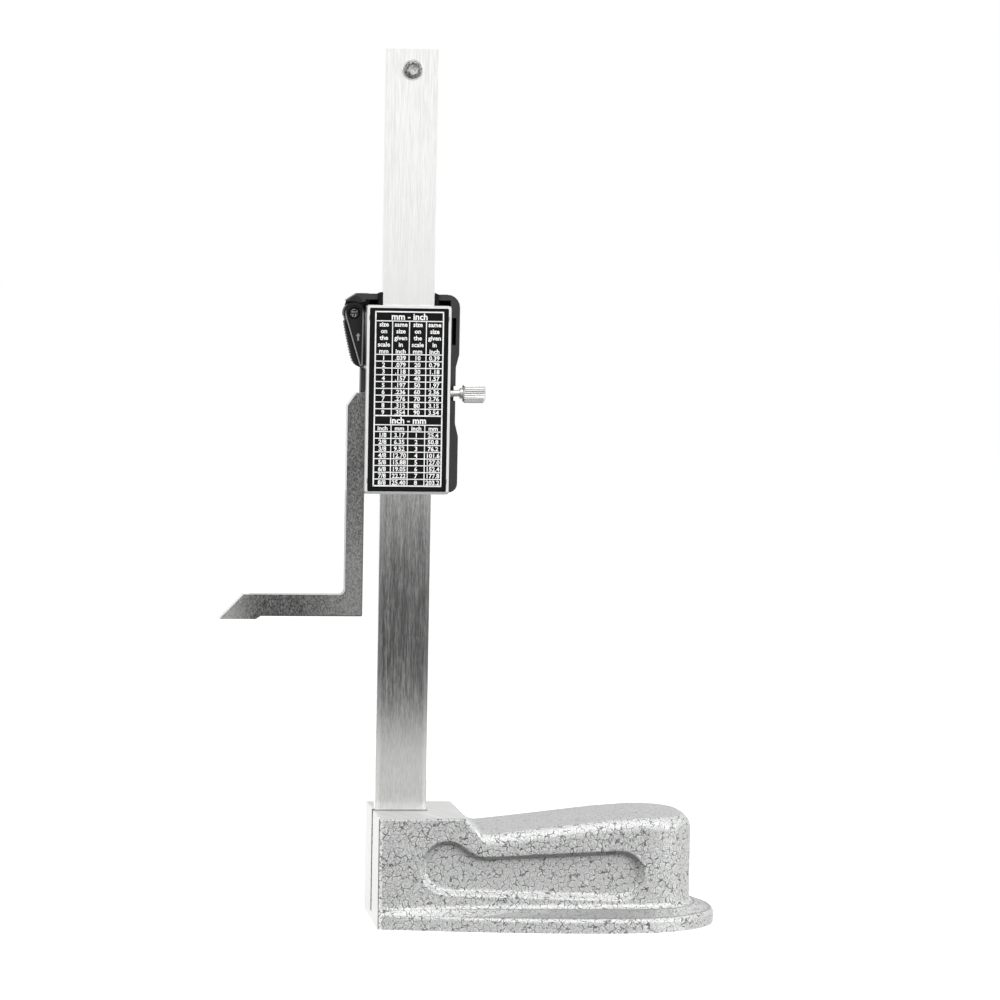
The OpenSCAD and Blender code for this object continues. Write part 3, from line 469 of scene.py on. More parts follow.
def metal(name, colour, rough, grain=METAL_GRAIN):
    """Plain metal with a fine grain in its colour, gloss and relief."""
    finish = Finish(name)
    lines = finish.noise(grain, detail=3.0)
    smudge = finish.noise(METAL_SMUDGE)
    tone = finish.tone(lines * 0.6 + smudge * 0.4, colour, 0.8, 1.12)
    return finish.surface(Base_Color=tone, Metallic=1.0, Roughness=rough * 0.8 + rough * 0.4 * smudge,
                          Normal=finish.bump(lines, depth=0.004))


def moulded(name, colour, rough, grain=PLASTIC_GRAIN, depth=0.012, gloss=0.5):
    """Moulded plastic: a fine spark-eroded grain, slight clouds in its colour and smoother patches."""
    finish = Finish(name)
    pore = finish.noise(grain, detail=3.0)
    cloud = finish.noise(PLASTIC_CLOUD)
    tone = finish.tone(pore * 0.5 + cloud * 0.5, colour, 0.75, 1.3)
    return finish.surface(Base_Color=tone, Roughness=rough * 0.85 + rough * 0.3 * cloud,
                          Normal=finish.bump(pore, depth), Specular_IOR_Level=gloss)


def housing_plastic(look):
    """Moulded plastic with a fine grain, darker inside the arch that carries on the door's outline."""
    finish = Finish("black_plastic")
    x, y, z = finish.place("XYZ")
    pore = finish.noise(PLASTIC_GRAIN, detail=3.0)
    cloud = finish.noise(PLASTIC_CLOUD)
    across = (x - ARCH_MIDDLE[0]) * (1 / ARCH_HALF[0])
    up = (z - ARCH_MIDDLE[1]) * (1 / ARCH_HALF[1])
    arch = (across * across + up * up).fall(0.92, 1.0) * (y < 0)
    tone = finish.tone(pore * 0.5 + cloud * 0.5, look.plastic, 0.85, 1.7)
    return finish.surface(Base_Color=finish.mix(arch * 0.8, tone, shade(look.plastic, 0.2)),
                          Roughness=0.42 + 0.15 * cloud, Specular_IOR_Level=0.3,
                          Normal=finish.bump(pore, depth=0.012))


def door_plastic(look):
    """The housing's plastic, with a painted highlight along the rib that runs round the door."""
    finish = Finish("door_plastic")
    y, z = finish.place("YZ")
    pore = finish.noise(PLASTIC_GRAIN, detail=3.0)
    # Painted highlight: the rib's edges are made much lighter
    rib_highlight = (y < DOOR_BACK + 0.3) * z.fall(PIVOT[2] - 1, PIVOT[2] + 1.5)
    tone = finish.tone(pore, look.plastic, 0.35, 0.7)
    return finish.surface(Base_Color=finish.mix(rib_highlight * (0.5 + 0.5 * pore), tone, shade(look.plastic, 14)),
                          Roughness=0.42 + 0.1 * pore, Specular_IOR_Level=0.15,
                          Normal=finish.bump(pore, depth=0.012))


def pivot_steel(look):
    """A dulled screw head with a slot across it painted dark as painted shade, and bright rubbed marks.
    """
    finish = Finish("pivot_screw")
    z = finish.place("Z")[0]
    rub = finish.noise(RUB)
    # Painted shade: a dark band across the head stands for the slot
    slot = abs(z - PIVOT[2]).fall(0.17, 0.22)
    tone = finish.tone(rub.rise(0.45, 0.62), look.steel, 0.03, 0.4)
    return finish.surface(Base_Color=finish.mix(slot, tone, shade(look.plastic, 0.6)), Metallic=1 - slot,
                          Roughness=0.3 + 0.1 * rub, Normal=finish.bump(rub, depth=0.02))


def knurled_chrome(look):
    """Chrome, bright on the knurl's lands and the bare neck, with painted shade at the radii between
    them: in the grooves, the thread and the end faces."""
    finish = Finish("lock_chrome")
    y, z = finish.place("YZ")
    up = z - LOCK[2]
    radius = (y * y + up * up).root()
    smudge = finish.noise(CHROME_SMUDGE)
    # Painted shade: all but the lands and the neck take a darker share of the steel
    land = radius.rise(KNOB_RADIUS - 0.3, KNOB_RADIUS - 0.05) | (radius < NECK_RADIUS)
    bright = finish.tone(smudge, look.steel, 0.75, 1.0)
    return finish.surface(Base_Color=finish.mix(land, shade(look.steel, 0.62), bright), Metallic=0.8,
                          Roughness=0.24 + 0.1 * smudge, Normal=finish.bump(smudge, depth=0.003))


def circuit_board(look):
    """Green solder mask over copper tracks that run in long lanes along the board."""
    finish = Finish("green_board")
    lane = finish.noise(TRACK, detail=0.0).rise(0.52, 0.55)
    cloud = finish.noise(BOARD_CLOUD)
    mask = finish.tone(cloud, look.board, 0.8, 1.2)
    return finish.surface(Base_Color=finish.mix(lane * 0.6, mask, shade(look.board, 1.9)),
                          Roughness=0.3 + 0.1 * cloud, Normal=finish.bump(lane, depth=0.03))


def scale_board(look):
    """Etched scale under the film: copper bars across the beam at a fixed pitch."""
    finish = Finish("scale_board")
    copper = finish.stripes("Z", SCALE_BAR)
    return finish.surface(Base_Color=finish.mix(copper, shade(look.board, 1.2), shade(look.brass, 0.9)),
                          Metallic=0.6 * copper, Roughness=0.4 - 0.1 * copper,
                          Normal=finish.bump(copper, depth=0.02))


def striped_rubber(look):
    """Contact rubber: carbon stripes between clear ones."""
    finish = Finish("contact_rubber")
    carbon = finish.stripes("X", CARBON_BAR)
    return finish.surface(Base_Color=finish.mix(carbon, shade(look.rubber), shade(look.carbon)),
                          Roughness=0.55, Normal=finish.bump(carbon, depth=0.02))


def lcd_glass(look):
    """Reflective display: a grey-green ground with a soft sparkle behind the glass."""
    finish = Finish("lcd")
    sparkle = finish.noise(SPARKLE)
    cloud = finish.noise(LCD_CLOUD, detail=1.0)
    tone = finish.tone(sparkle * 0.5 + cloud * 0.5, look.lcd, 0.9, 1.1)
    return finish.surface(Base_Color=tone, Roughness=0.18 + 0.06 * cloud, Coat_Weight=0.4,
                          Normal=finish.bump(sparkle, depth=0.002))


def clear_window(look):
    """Clear plastic with faint smears: nearly all of what is behind it shows."""
    finish = Finish("clear_window")
    smear = finish.noise(SMEAR, detail=3.0)
    return finish.surface(Base_Color=shade(look.window), Alpha=0.1 + 0.05 * smear,
                          Roughness=0.04 + 0.08 * smear, Normal=finish.bump(smear, depth=0.003))


def ink(name, colour):
    """Screen-printed ink with small thin spots."""
    finish = Finish(name)
    thin = finish.noise(INK_SPOT, detail=3.0)
    return finish.surface(Base_Color=finish.tone(thin.rise(0.25, 0.6), colour, 0.82, 1.0),
                          Roughness=0.5 + 0.1 * thin, Normal=finish.bump(thin, depth=0.003))


# Dressing the CAD nodes: points closer than this many millimetres are joined, and faces that turn by less
# than this many degrees count as one flat
JOIN_GAP = 0.002
FLAT_TURN = 0.3


def smooth_curves(turn):
    """A node group that notes how far each face looks up, then smooths all edges but those that turn by
    more degrees."""
    name = f"smooth_to_{turn:.0f}"
    if name in bpy.data.node_groups:
        return bpy.data.node_groups[name]
    group = bpy.data.node_groups.new(name, "GeometryNodeTree")
    for way in ("INPUT", "OUTPUT"):
        group.interface.new_socket("Geometry", in_out=way, socket_type="NodeSocketGeometry")
    tree = Tree(group)
    normal = tree.node("GeometryNodeInputNormal", {}, {})
    upward = tree.node("ShaderNodeSeparateXYZ", {}, {0: normal}, "Z")
    angle = tree.node("GeometryNodeInputMeshEdgeAngle", {}, {}, "Unsigned Angle")
    limit = math.radians(turn)
    gentle = tree.node("FunctionNodeCompare", {"operation": "LESS_THAN"}, {0: angle, 1: limit})
    shape = tree.node("NodeGroupInput", {}, {})
    shape = tree.node("GeometryNodeStoreNamedAttribute", {"data_type": "FLOAT", "domain": "FACE"},
                      {0: shape, "Name": "upward", "Value": upward})
    shape = tree.node("GeometryNodeRemoveAttribute", {}, {0: shape, "Name": "custom_normal"})
    shape = tree.node("GeometryNodeSetShadeSmooth", {}, {0: shape})
    shape = tree.node("GeometryNodeSetShadeSmooth", {"domain": "EDGE"},
                      {0: shape, "Shade Smooth": gentle})
    tree.feed(group.nodes.new("NodeGroupOutput").inputs[0], shape)
    return group


def add_modifier(piece, name, kind, **settings):
    """A modifier with its settings."""
    made = piece.modifiers.new(name, kind)
    for key, value in settings.items():
        setattr(made, key, value)


def dress(node, material, edge=0.0, turn=34.0):
    """A CAD node keeps its mesh: modifiers join its triangles, round its edges by a width in millimetres
    and smooth its curves, and its slot takes the finish. What turns by more degrees counts as an edge."""
    piece = NODES[node]
    piece.material_slots[0].material = material
    add_modifier(piece, "joined", "WELD", merge_threshold=JOIN_GAP * MM)
    add_modifier(piece, "flats", "DECIMATE", decimate_type="DISSOLVE",
                 angle_limit=math.radians(FLAT_TURN))
    if edge:
        add_modifier(piece, "edges", "BEVEL", width=edge * MM, segments=2, limit_method="ANGLE",
                     angle_limit=math.radians(turn), use_clamp_overlap=True)
    add_modifier(piece, "curves", "NODES", node_group=smooth_curves(turn))
    add_modifier(piece, "normals", "WEIGHTED_NORMAL", keep_sharp=True)


# Surfaces worked out as arrays: a shape is its points in millimetres and its faces
CORNERS = np.array([(i & 1, i >> 1 & 1, i >> 2 & 1) for i in range(8)]) * 2.0 - 1.0
BOX_FACES = np.array([(0, 2, 3, 1), (4, 5, 7, 6), (0, 1, 5, 4), (2, 6, 7, 3), (0, 4, 6, 2),
                      (1, 3, 7, 5)])


def bars(boxes, depth):
    """Flat bars given as [left, right, bottom, top]: each corner is the middle plus half the size times
    the eight signs of a box's corners."""
    boxes = np.asarray(boxes, float)
    low = np.stack((boxes[:, 0], boxes[:, 2], np.zeros(len(boxes))), 1)
    high = np.stack((boxes[:, 1], boxes[:, 3], np.full(len(boxes), depth)), 1)
    points = ((low + high) / 2)[:, None] + CORNERS[None] * ((high - low) / 2)[:, None]
    faces = BOX_FACES[None] + 8 * np.arange(len(boxes))[:, None, None]
    return points.reshape(-1, 3), faces.reshape(-1, 4).tolist()


def prisms(outlines, depth):
    """Outlines with the same number of corners, each carried straight out by the depth."""
    outlines = np.asarray(outlines, float)
    many, corners, _ = outlines.shape
    rings = np.repeat(outlines[:, None], 2, axis=1)
    height = np.broadcast_to(np.array((0.0, depth))[None, :, None, None], (many, 2, corners, 1))
    points = np.concatenate((rings, height), axis=3).reshape(-1, 3)
    this = np.arange(corners)
    following = (this + 1) % corners
    start = 2 * corners * np.arange(many)[:, None, None]
    sides = np.stack((this, following, corners + following, corners + this), 1)[None] + start
    caps = np.stack((this[::-1], corners + this))[None] + start
    return points, sides.reshape(-1, 4).tolist() + caps.reshape(-1, corners).tolist()


def words(lines, depth):
    """Words as thin plates, given as [text, across, up, height]: a filled font outline is scaled so that
    its figures have the height, centred on their middle and thickened."""
    shapes = []
    for text, across, up, height in lines:
        font = bpy.data.curves.new("word", "FONT")
        font.body = text
        font.align_x = "CENTER"
        font.resolution_u = 2
        font.extrude = 0.5
        font.offset = BOLDER
        mesh = bpy.data.meshes.new_from_object(bpy.data.objects.new("word", font))
        flat = np.zeros(len(mesh.vertices) * 3, np.float32)
        mesh.vertices.foreach_get("co", flat)
        outline = flat.reshape(-1, 3) - np.array((0, FIGURE / 2, -font.extrude))
        scale = height / FIGURE
        points = outline * (scale, scale, depth) + (across, up, 0)
        shapes.append((points, [list(p.vertices) for p in mesh.polygons]))
    return together(*shapes)


def together(*shapes):
    """Several shapes as one."""
    starts = np.cumsum([0] + [len(points) for points, _ in shapes])
    faces = [[v + start for v in face] for (_, found), start in zip(shapes, starts) for face in found]
    return np.concatenate([points for points, _ in shapes]), faces


def swept(sections):
    """Four-cornered sections in a row, joined into one closed bar with a cap at each end."""
    last = 4 * (len(sections) - 1)
    near = np.arange(0, last, 4)[:, None]
    far = near + 4
    this = np.arange(4)[None]
    following = (this + 1) % 4
    sides = np.stack((far + this, far + following, near + following, near + this), 2).reshape(-1, 4)
    caps = [[0, 1, 2, 3], [last + corner for corner in (3, 2, 1, 0)]]
    return sections.reshape(-1, 3), sides.tolist() + caps


# The door's grip, in millimetres: its ends from the pivot, its root, and its depths from the door's back
GRIP_START = (-2.9, -2.4)
GRIP_END = (1.65, -16.5)
GRIP_ROOT = 0.35
GRIP_NEAR = 0.55
GRIP_FAR = 5.1

# Sections in one tooth, and the powers that shape the swell, the teeth and their end
GRIP_TOOTH_STEPS = 6
SWELL_POWER = 0.75
TOOTH_POWER = 0.25
END_POWER = 12

# The lock screw's thread: its root and its gap from the frame in millimetres, the sections in one turn,
# and a section's four corners as shares of the pitch and of the depth
THREAD_ROOT = 1.0
THREAD_GAP = 0.4
THREAD_STEPS = 20
THREAD_ALONG = np.array((-0.42, -0.12, 0.12, 0.42))
THREAD_OUT = np.array((-0.3, 1.0, 1.0, -0.3))

# The door's arrow, in millimetres: its place, and its levels over the door's back
ARROW_PLACE = (-15.6, 181.6)
ARROW_SINK = 0.35
ARROW_DEPTH = 0.16


def helix_ridge(start, forms):
    """A screw thread along X: a trapezium section goes round the axis and forward by the pitch each
    turn, and its crest sinks to the root over half a turn at both ends."""
    steps = int(THREAD_STEPS * forms.thread_length / forms.thread_pitch)
    turn = np.arange(steps + 1)[:, None] / THREAD_STEPS
    fade = np.clip(np.minimum(turn, turn[-1] - turn) * 2, 0, 1)
    along = start + forms.thread_pitch * (turn + THREAD_ALONG)
    radius = THREAD_ROOT + forms.thread_depth * THREAD_OUT * fade
    around = 2 * math.pi * turn
    points = np.stack((along, radius * np.cos(around), LOCK[2] + radius * np.sin(around)), 2)
    return swept(points)


def toothed_edge(forms):
    """The grip on the door's long edge: from a line between two points the outer side is pushed out by a
    power of the way along plus the size of a sine for the teeth. Both drop to nothing at the end."""
    way = np.linspace(0, 1, forms.grip_teeth * GRIP_TOOTH_STEPS + 1)[:, None]
    start, end = np.array(GRIP_START), np.array(GRIP_END)
    ahead = (end - start) / np.linalg.norm(end - start)
    aside = np.array((ahead[1], -ahead[0]))
    tooth = forms.grip_tooth * way ** TOOTH_POWER * abs(np.sin(math.pi * forms.grip_teeth * way))
    push = (forms.grip_swell * way ** SWELL_POWER + tooth) * (1 - way ** END_POWER)
    line = np.array((PIVOT[0], PIVOT[2])) + start + way * (end - start)
    outer, inner = line + push * aside, line - GRIP_ROOT * aside
    near, far = DOOR_BACK + GRIP_NEAR, DOOR_BACK + GRIP_FAR
    corners = ((outer, near), (inner, near), (inner, far), (outer, far))
    return swept(np.stack([np.insert(side, 1, depth, axis=1) for side, depth in corners], 1))


def laid(shape, outward, level):
    """A flat shape laid on a side that looks along Y or against it: its right, up and depth are added up
    along that side's own directions, from the level."""
    points, faces = shape
    ways = np.array(((-outward, 0.0, 0.0), (0.0, 0.0, 1.0), (0.0, outward, 0.0)))
    return points @ ways + np.array((0.0, level, 0.0)), faces


def add_piece(name, shape, material, body):
    """A new mesh that rides on a body and takes a slot's finish."""
    points, faces = shape
    mesh = bpy.data.meshes.new(name)
    mesh.from_pydata((np.asarray(points) * MM).tolist(), [], faces)
    mesh.update()
    mesh.materials.append(material)
    piece = bpy.data.objects.new(name, mesh)
    bpy.context.scene.collection.objects.link(piece)
    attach(piece, body)


def arrow_outline(size):
    """An arrow that points up: a shaft from its tail to its neck and a head from there to its tip."""
    shaft, head, tail, neck, tip = 0.45, 1.15, -1.9, 0.4, 2.0
    outline = [(-shaft, tail), (shaft, tail), (shaft, neck), (head, neck), (0.0, tip), (-head, neck),
               (-shaft, neck)]
    return np.array(outline) * size + ARROW_PLACE


# The scale's lines by their step, with the place of its figures, in millimetres
LINE_REACH = {10: 4.6, 5: 3.4, 1: 2.3}
LINE_INSET = 0.3
SCALE_FIGURE_PLACE = -2.4
SCALE_END = 1.0


def graduations(marks):
    """One line a millimetre, longer at five and ten, and a figure at each ten. The housing's lower edge
    points at the reading."""
    low, high = box_mm("scale_face")
    zero = box_mm("front_housing")[0][2] - marks.reading
    first = math.ceil(low[2] + SCALE_END - zero)
    last = math.floor(high[2] - SCALE_END - zero)
    steps = np.arange(max(first, 0), last + 1)
    reach = np.select([steps % step == 0 for step in LINE_REACH], list(LINE_REACH.values()))
    side = np.full(len(steps), high[0] - LINE_INSET)
    level = zero + steps
    half = marks.tick / 2
    lines = bars(np.stack((side - reach, side, level - half, level + half), 1), marks.ink)
    tens = steps[steps % 10 == 0]
    figures = [(str(ten), SCALE_FIGURE_PLACE, zero + ten, marks.scale_figure) for ten in tens]
    return together(lines, words(figures, marks.ink))


# The chart's heads, and the heights of its title bar and of each line of its heads, counted in rows
READ_HEAD = ("size", "on", "the", "scale", "mm")
SAME_HEAD = ("same", "size", "given", "in", "inch")
COLUMNS = 4
TITLE_ROWS = 1.35
HEAD_ROWS = 0.98
HEAD_SPARE = 0.02


def chart_table(left, top, marks, title, heads, rows):
    """One table's lower edge, lines and words: a title bar, a row of heads and rows of figures."""
    edges = [left + marks.column * i for i in range(COLUMNS + 1)]
    right = edges[-1]
    across = [edge + marks.column / 2 for edge in edges[:-1]]
    heads_top = top - marks.row * TITLE_ROWS
    rows_top = heads_top - marks.row * (HEAD_ROWS * len(heads[0]) + HEAD_SPARE)
    bottom = rows_top - marks.row * len(rows)
    texts = [(title, (left + right) / 2, (top + heads_top) / 2, marks.title)]
    for i, x in enumerate(across):
        head = heads[i % len(heads)]
        step = (heads_top - rows_top) / len(head)
        texts += [(word, x, heads_top - step * (j + 0.5), marks.figure) for j, word in enumerate(head)]
    for r, row in enumerate(rows):
        level = rows_top - marks.row * (r + 0.5)
        texts += [(text, x, level, marks.figure) for text, x in zip(row, across)]
    half = marks.rule / 2
    levels = [heads_top] + [rows_top - marks.row * r for r in range(len(rows))]
    lines = [(left, right, level - half, level + half) for level in levels]
    lines += [(edge - half, edge + half, bottom, heads_top) for edge in edges[1:-1]]
    return bottom, lines, texts


def chart(marks):
    """Two tables in one border: millimetres to inches above, and inches to millimetres below."""
    low, high = box_mm("chart_label")
    left, top = low[0] + marks.inset, high[2] - marks.drop
    above = [(str(n), f"{n / INCH:.3f}"[1:], str(10 * n), f"{10 * n / INCH:.2f}")
             for n in range(1, marks.rows_above + 1)]
    below = [(f"{n}/8", f"{n * INCH / 8:.2f}", str(n), f"{n * INCH:.1f}")
             for n in range(1, marks.rows_below + 1)]
    between, lines, texts = chart_table(left, top, marks, "mm - inch", (READ_HEAD, SAME_HEAD), above)
    bottom, more, added = chart_table(left, between, marks, "inch - mm", (("inch",), ("mm",)), below)
    right = left + COLUMNS * marks.column
    rim = marks.border / 2
    lines += more
    lines += [(left - rim, right + rim, level - rim, level + rim) for level in (top, between, bottom)]
    lines += [(x - rim, x + rim, bottom, top) for x in (left, right)]
    return together(bars(lines, marks.ink), words(texts + added, marks.ink))


# Seven-segment code: the lit bars of each digit, from the top bar round to the middle one
SEGMENTS = {"0": "abcdef", "1": "bc", "2": "abged", "3": "abgcd", "4": "fgbc", "5": "afgcd",
            "6": "afgedc", "7": "abc", "8": "abcdefg", "9": "abcdfg"}

# Each bar's place across and up from the digit's middle, in halves, and whether it lies level
BAR_PLACES = {"a": (0, 1, True), "b": (1, 1, False), "c": (1, -1, False), "d": (0, -1, True),
              "e": (-1, -1, False), "f": (-1, 1, False), "g": (0, 0, True)}

# A bar's six corners: signs of its half length, and of half its stroke along it and across it
BAR_CORNERS = np.array([(-1, 0, 0), (-1, 1, -1), (1, -1, -1), (1, 0, 0), (1, -1, 1), (-1, 1, 1)], float)

# Gap at a bar's end, the point's radius, the unit's room, place and height in millimetres, and the lean
BAR_GAP = 0.09
POINT_RADIUS = 0.42
UNIT_ROOM = 1.2
UNIT_PLACE = (-0.9, 0.75)
UNIT_HEIGHT = 1.3
DIGIT_LEAN = 0.09


def bar_outline(bar, marks):
    """A bar's hexagon, laid across or upright and moved to its place in the digit."""
    across, up, level = BAR_PLACES[bar]
    tall, wide, half_stroke = marks.digit, marks.digit_width, marks.stroke / 2
    half = (wide if level else tall / 2) / 2 - BAR_GAP
    along = BAR_CORNERS[:, 0] * half + BAR_CORNERS[:, 1] * half_stroke
    width = BAR_CORNERS[:, 2] * half_stroke
    hexagon = np.stack((along, width) if level else (-width, along), 1)
    return hexagon + (across * wide / 2, up * (tall / 2 if level else tall / 4))


def digits(marks):
    """The reading in seven-segment figures that lean a little, with a six-sided point and the unit."""
    text = f"{marks.reading:.2f}"
    plain = text.replace(".", "")
    step = marks.digit_step
    start = -step * (len(plain) - 1) / 2 - UNIT_ROOM
    foot = -marks.digit / 2
    outlines = [bar_outline(bar, marks) + (start + step * place, 0)
                for place, figure in enumerate(plain) for bar in SEGMENTS[figure]]
    around = np.arange(6) * math.pi / 3
    point = POINT_RADIUS * np.stack((np.cos(around), np.sin(around)), 1)
    outlines = np.array(outlines + [point + (start + step * (text.index(".") - 0.5), foot)])
    outlines[..., 0] += outlines[..., 1] * DIGIT_LEAN
    unit = ("mm", start + step * len(plain) + UNIT_PLACE[0], foot + UNIT_PLACE[1], UNIT_HEIGHT)
    points, faces = together(prisms(outlines, marks.ink), words([unit], marks.ink))
    middle = middle_mm("lcd_panel")
    return points + np.array((-middle[0], middle[2], 0)), faces


# Settings
def a_colour(name, description, value):
    return FloatVectorProperty(name=name, description=description, default=value, subtype="COLOR",
                               size=3, min=0.0, max=1.0)


def a_length(name, description, value, low=0.0):
    return FloatProperty(name=name, description=description + ", in millimetres", default=value, min=low)


def a_count(name, description, value, high):
    return IntProperty(name=name, description=description, default=value, min=1, max=high)


def an_angle(name, description, degrees):
    return FloatProperty(name=name, description=description, default=math.radians(degrees),
                         subtype="ANGLE")


def a_power(name, description, value):
    return FloatProperty(name=name, description=description, default=value, min=0.0, unit="POWER")


class GaugeLook(bpy.types.PropertyGroup):
    """Colours of the finishes."""
    paint: a_colour("Paint", "Hammered paint of the base", (0.50, 0.505, 0.50))
    # The vein colour also gives the painted shade where the base's walls look down
    vein: a_colour("Vein", "Dark veins in the paint", (0.07, 0.07, 0.07))
    machined: a_colour("Machined faces", "Bare faces of the base", (0.83, 0.83, 0.82))
    steel: a_colour("Steel", "Beam and slider frame", (0.87, 0.87, 0.86))
    arm: a_colour("Arm", "Blasted scriber arm", (0.17, 0.17, 0.167))
    screws: a_colour("Dark screws", "Clamp screws and gib screws", (0.11, 0.11, 0.115))
    plating: a_colour("Bright screws", "Case screws and stop washer", (0.78, 0.78, 0.77))
    brass: a_colour("Brass", "Gib and battery contacts", (0.66, 0.47, 0.20))
    cell: a_colour("Cell", "Can of the button cell", (0.75, 0.75, 0.74))
    plastic: a_colour("Plastic", "Housing and battery door", (0.026, 0.026, 0.0265))
    felt: a_colour("Guard", "Guard round the beam", (0.008, 0.008, 0.008))
    sheet: a_colour("Sheet", "Black ground of the chart", (0.006, 0.006, 0.0062))
    lettering: a_colour("Lettering", "White print", (0.95, 0.95, 0.945))
    film: a_colour("Film", "Ground of the scale", (0.62, 0.63, 0.62))
    ink: a_colour("Ink", "Lines and figures of the scale", (0.02, 0.02, 0.022))
    lcd: a_colour("Display", "Ground of the display", (0.40, 0.44, 0.36))
    segments: a_colour("Segments", "Figures of the display", (0.02, 0.022, 0.02))
    window: a_colour("Window", "Clear window", (0.9, 0.92, 0.92))
    caps: a_colour("Buttons", "Button caps", (0.34, 0.35, 0.36))
    pad: a_colour("Pad", "Rubber under the buttons", (0.5, 0.5, 0.51))
    board: a_colour("Board", "Solder mask", (0.03, 0.16, 0.07))
    chip: a_colour("Chip", "Sealed chip", (0.015, 0.015, 0.016))
    rubber: a_colour("Contact rubber", "Clear stripes of the contact strip", (0.7, 0.5, 0.52))
    carbon: a_colour("Carbon", "Dark stripes of the contact strip", (0.03, 0.03, 0.03))


class GaugeForms(bpy.types.PropertyGroup):
    """Sizes of the forms that are added to the door and the lock screw."""
    grip_swell: a_length("Grip swell", "How far the door's grip bulges", 1.3)
    grip_tooth: a_length("Grip teeth", "Height of the grip's teeth", 0.42)
    grip_teeth: a_count("Grip tooth count", "Teeth along the grip", 17, 60)
    arrow: FloatProperty(name="Arrow size", description="Scale of the door's arrow",
                         default=0.62, min=0.1)
    thread_length: a_length("Thread length", "Length of the lock screw's thread", 3.2)
    thread_pitch: a_length("Thread pitch", "Step of the thread in one turn", 0.45, 0.1)
    thread_depth: a_length("Thread depth", "Height of the thread over its root", 0.12)


class GaugeMarks(bpy.types.PropertyGroup):
    """Sizes of the printed marks and the display's figures."""
    reading: a_length("Reading", "Height of the scriber that the display shows", 94.05)
    figure: a_length("Figure height", "Height of the figures in the chart", 1.36)
    title: a_length("Title height", "Height of the chart's titles", 1.95)
    rule: a_length("Rule width", "Width of the lines between rows and columns", 0.3)
    border: a_length("Border width", "Width of the chart's outer line", 0.42)
    column: a_length("Column width", "Width of one column of the chart", 5.25, 1.0)
    row: a_length("Row height", "Height of one row of the chart", 2.1, 0.5)
    inset: a_length("Side inset", "From the sheet's left edge to the chart", 1.85)
    drop: a_length("Top inset", "From the sheet's upper edge to the chart", 1.15)
    rows_above: a_count("Rows above", "Rows in the upper table", 9, 9)
    rows_below: a_count("Rows below", "Rows in the lower table", 8, 8)
    ink: a_length("Ink thickness", "Thickness of the print", 0.02)
    tick: a_length("Scale line width", "Width of the lines on the scale", 0.16)
    scale_figure: a_length("Scale figure height", "Height of the figures on the scale", 1.6)
    digit: a_length("Digit height", "Height of the display's figures", 6.0)
    digit_width: a_length("Digit width", "Width of the display's figures", 2.9)
    digit_step: a_length("Digit step", "From one figure of the display to the next", 4.25)
    stroke: a_length("Stroke", "Width of the bars in the display's figures", 0.72)
    word: a_length("Word height", "Height of the words over the buttons", 1.25)
    word_rise: a_length("Word rise", "From a button's upper edge to its word", 1.4)


class GaugeStage(bpy.types.PropertyGroup):
    """Camera and light."""
    yaw: an_angle("Yaw", "Turn of the camera about the upright axis", 7.487)
    pitch: an_angle("Pitch", "How far the camera looks down", 3.929)
    roll: an_angle("Roll", "Turn of the camera about its own line of sight", 1.022)
    distance: FloatProperty(name="Distance", description="From the camera to its target", unit="LENGTH",
                            default=1.3691, min=0.1)
    target: FloatVectorProperty(name="Target", description="Point at the middle of the picture",
                                subtype="TRANSLATION", default=(0.02975, 0.0, 0.13137))
    focal: FloatProperty(name="Focal length", description="Focal length in pixels of the picture",
                         default=4399.4, min=100.0)
    overhead: a_power("Overhead light", "Power of the softbox above", 12.0)
    side: a_power("Side lights", "Power of each front softbox", 8.5)
    tail: a_power("Tail light", "Power of the low softbox beside the base's tail", 4.5)
    ambient: FloatProperty(name="Ambient", description="Strength of the even light from all round",
                           default=0.36, min=0.0)


# The camera's picture and sensor, in pixels and millimetres
IMAGE_PIXELS = 1000
SENSOR = 36.0

# Stage sheets in metres, each with two corners and its level
FLOOR = ((-9.0, -9.0), (9.0, 9.0), 0.0)
CARD = ((-3.0, -4.6), (3.0, -0.034), 0.0002)

# The floor's shades where it lights the part and where it is seen, and its own glow where it is seen
FLOOR_PALE = (0.22, 0.22, 0.22, 1)
FLOOR_SEEN = (0.5, 0.5, 0.5, 1)
FLOOR_GLOW = 0.82

# The card's level at the foot, and how much it changes between two distances in millimetres
CARD_LEVEL = 0.05
CARD_CHANGES = ((130, 230, 0.67), (400, 640, -0.64), (1100, 2100, 0.27), (2100, 4500, 0.3))

# Softboxes in metres: name, place, aim, size and the setting that holds the power
SOFTBOXES = (("overhead", (0.1, -0.6, 1.4), (0.02, 0.0, 0.05), 1.1, "overhead"),
             ("front_left", (-1.1, -1.0, 0.8), (0.0, 0.0, 0.12), 0.8, "side"),
             ("front_right", (1.2, -0.9, 0.7), (0.05, 0.0, 0.1), 0.8, "side"),
             ("tail", (1.0, -0.72, 0.22), (0.08, 0.0, 0.03), 0.3, "tail"))


def floor_finish():
    """A pale floor that shows white in full light and keeps the object's shadow."""
    finish = Finish("floor")
    pale = finish.node("ShaderNodeBsdfDiffuse", {}, {"Color": FLOOR_PALE})
    soft = finish.node("ShaderNodeBsdfDiffuse", {}, {"Color": FLOOR_SEEN})
    glow = finish.node("ShaderNodeEmission", {}, {"Color": WHITE, "Strength": FLOOR_GLOW})
    seen = finish.node("ShaderNodeAddShader", {}, {0: soft, 1: glow})
    return finish.replaced(finish.node("ShaderNodeMixShader", {}, {0: finish.shown(), 1: pale, 2: seen}))


